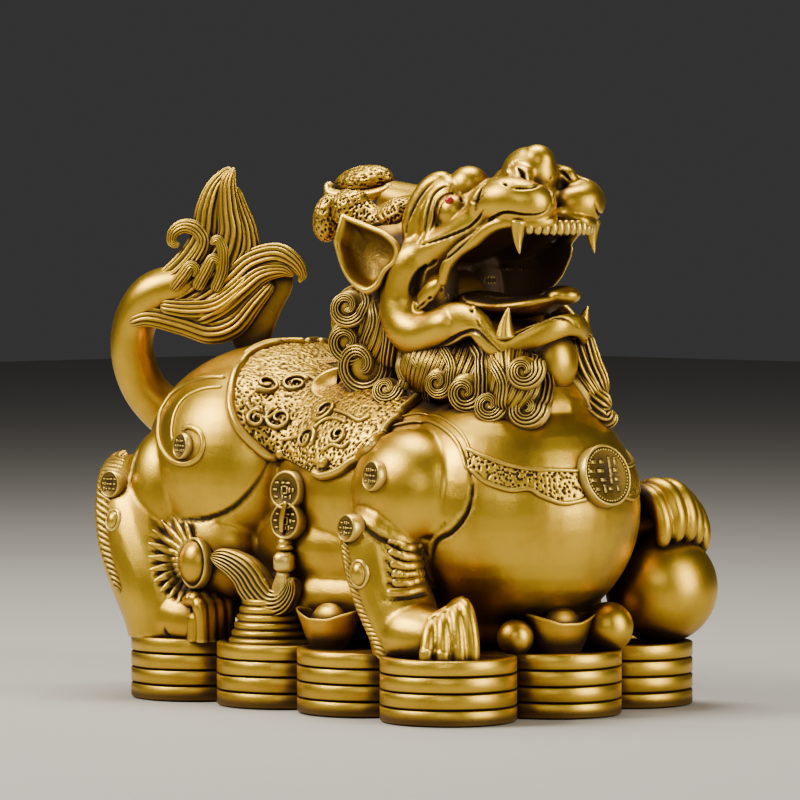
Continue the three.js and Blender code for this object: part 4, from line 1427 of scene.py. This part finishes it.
tail = {
    "tube": [[-84, -4, 84, 11], [-88, -4, 86, 11], [-104, -10, 92, 9.5], [-114, -19, 103, 8.2],
             [-117, -24, 116, 7.8], [-115, -25, 129, 7.8], [-107, -23, 139, 8.4], [-96, -18, 143, 7.5],
             [-86, -15, 146, 5]],
    "web": [(246, 356, 8), (254, 328, 7.2), (265, 302, 6.8), (279, 280, 6), (291, 266, 4)], "webShade": 0.6,
    "plane": ((-85, -14, 150), (0.5, -0.86, 0)),
    "flames": [      # picture points with the radius in mm, and how far it stands out
        ([(126, 318, 3), (144, 302, 4.4), (168, 282, 5), (190, 262, 5.5), (205, 238, 5.5), (209, 210, 5),
          (216, 187, 3.6), (231, 167, 1.4)], 0),
        ([(168, 302, 4.5), (196, 284, 5.5), (222, 262, 6), (232, 236, 5.5), (229, 208, 4.4), (228, 184, 3.2),
          (234, 167, 1.2)], 1),
        ([(200, 296, 4), (226, 278, 5), (246, 256, 5), (247, 232, 4), (240, 208, 3), (234, 186, 2)], 0),
        ([(178, 312, 4), (205, 300, 5), (232, 280, 5.2), (252, 262, 4.8), (276, 255, 4.4), (293, 262, 3.4),
          (302, 274, 2), (299, 283, 1)], 1.5),
        ([(196, 320, 4), (222, 306, 4.6), (244, 288, 4.4), (262, 274, 3.6), (282, 270, 2.6), (294, 276, 1.4)],
         2.5),
        ([(128, 322, 2.6), (150, 316, 4), (184, 323, 4.6), (212, 331, 4.8), (235, 324, 4.6), (254, 302, 3.8),
          (272, 282, 2.4)], 1.5),
        ([(160, 306, 3), (190, 309, 4), (216, 306, 4), (236, 292, 3.4), (250, 276, 2.6)], 3.2),
        ([(136, 306, 2.4), (160, 290, 3), (182, 274, 3.2), (197, 258, 3.2), (204, 242, 3), (198, 230, 2.8),
          (185, 226, 2.6), (174, 232, 2.2), (172, 242, 1.8), (180, 246, 1.2)], 2.5),
        ([(172, 290, 2.4), (184, 275, 2.4), (191, 266, 2), (197, 270, 1.5), (193, 277, 1)], 5),
        ([(196, 290, 2.4), (207, 270, 2.4), (213, 259, 2), (220, 263, 1.5), (216, 271, 1)], 5),
        ([(214, 292, 2.2), (222, 272, 2.4), (223, 252, 2.2), (218, 240, 1.8), (210, 244, 1.2)], 4.5),
    ],
}


def makeTail():
    bm = bmesh.new()
    place, normal = tail["plane"]
    tube(bm, tail["tube"], out=normal, rings=90, around=36)
    before = set(bm.verts)
    tube(bm, onPlane(tail["web"], Vector(place) - Vector(normal), normal), out=normal, flat=0.3, around=36)
    # painted shade over the web, which lies in shadow, laid into the wax layer
    for vert in set(bm.verts) - before:
        vert[waxAndShadeLayer(bm)] = tail["webShade"]
    finished(bm, "tailTube", smoothBrass)
    bm = bmesh.new()
    for flame, forward in tail["flames"]:
        line = onPlane(flame, Vector(place) + forward * Vector(normal), normal)
        tube(bm, line, out=normal, flat=0.7, rings=90, around=96, flutes=12, depth=0.24, twist=0.01)
    finished(bm, "tailFlame", carvedBrass)


makeTail()
print("tail made")


# The eyes

stoneRadius = 1.5


def makeStones():
    for node in ("eye_stone_right", "eye_stone_left"):
        low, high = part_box(node)
        bm = bmesh.new()
        bmesh.ops.create_icosphere(bm, subdivisions=3, radius=stoneRadius * mm,
                                   matrix=Matrix.Translation((low + high) / 2))
        finished(bm, node + "_polished", stoneRed, node)


makeStones()


# Thinning: where a fine mesh is smooth, it keeps fewer triangles

kept = {      # the share of its triangles that a piece keeps
    "head": 0.5, "body": 0.5, "tailFlame": 0.55, "saddleCloth": 0.7, "maneLeft": 0.6, "maneRight": 0.75,
    "underMane": 0.5, "pittedHorns": 0.8, "paws": 0.8, "farPaw": 0.6,
}


def thin():
    for name, share in kept.items():
        piece = bpy.data.objects[name]
        piece.modifiers.new("thin", "DECIMATE").ratio = share
        applied(piece)


thin()
print("fine meshes thinned")


# The studio

studio = {
    "floor": colour(0.4, 0.39, 0.375), "world": colour(0.5, 0.5, 0.5), "worldStrength": 0.08,
    "aim": (0, 0, 0.09),      # where the lights point
    "lights": [      # name, place and size in metres, watts, colour
        ("upperLeft", (-0.42, -0.75, 0.85), (0.4, 0.45), 19, (1, 0.94, 0.82)),
        ("right", (0.98, 0.2, 0.38), (0.25, 0.7), 9, (1, 0.94, 0.82)),
        ("overhead", (-0.15, 0.1, 0.95), (0.5, 0.3), 11, (1, 0.95, 0.85)),
        ("front", (0.75, -0.95, 0.55), (0.2, 0.2), 2, (1, 0.96, 0.9)),
    ],
}


def makeStudio():
    bm = bmesh.new()
    bmesh.ops.create_grid(bm, x_segments=1, y_segments=1, size=3)
    mesh = bpy.data.meshes.new("floor")
    bm.to_mesh(mesh)
    bm.free()
    shader = Shader("floorPaint")
    shader.set(Base_Color=studio["floor"], Roughness=0.75)
    mesh.materials.append(shader.material)
    floor = added("floor", mesh)
    world = bpy.data.worlds.new("studio")
    world.use_nodes = True
    background = world.node_tree.nodes["Background"]
    background.inputs["Color"].default_value = studio["world"]
    background.inputs["Strength"].default_value = studio["worldStrength"]
    bpy.context.scene.world = world
    for name, place, (wide, tall), watts, tint in studio["lights"]:
        light = bpy.data.lights.new(name, "AREA")
        light.shape, light.size, light.size_y = "RECTANGLE", wide, tall
        light.energy, light.color = watts, tint
        lamp = added(name, light)
        lamp.location = place
        lamp.rotation_euler = (Vector(studio["aim"]) - Vector(place)).to_track_quat("-Z", "Y").to_euler()


def makeCamera():
    camera = bpy.data.cameras.new("camera")
    camera.sensor_width = 36
    camera.lens = camera.sensor_width * focal / photo["size"]
    camera.clip_start, camera.clip_end = 0.05, 50
    seer = added("camera", camera)
    seer.location = eye
    seer.rotation_mode = "QUATERNION"
    seer.rotation_quaternion = (-backward).to_track_quat("-Z", "Y")
    bpy.context.scene.camera = seer


makeStudio()
makeCamera()
print("studio made")
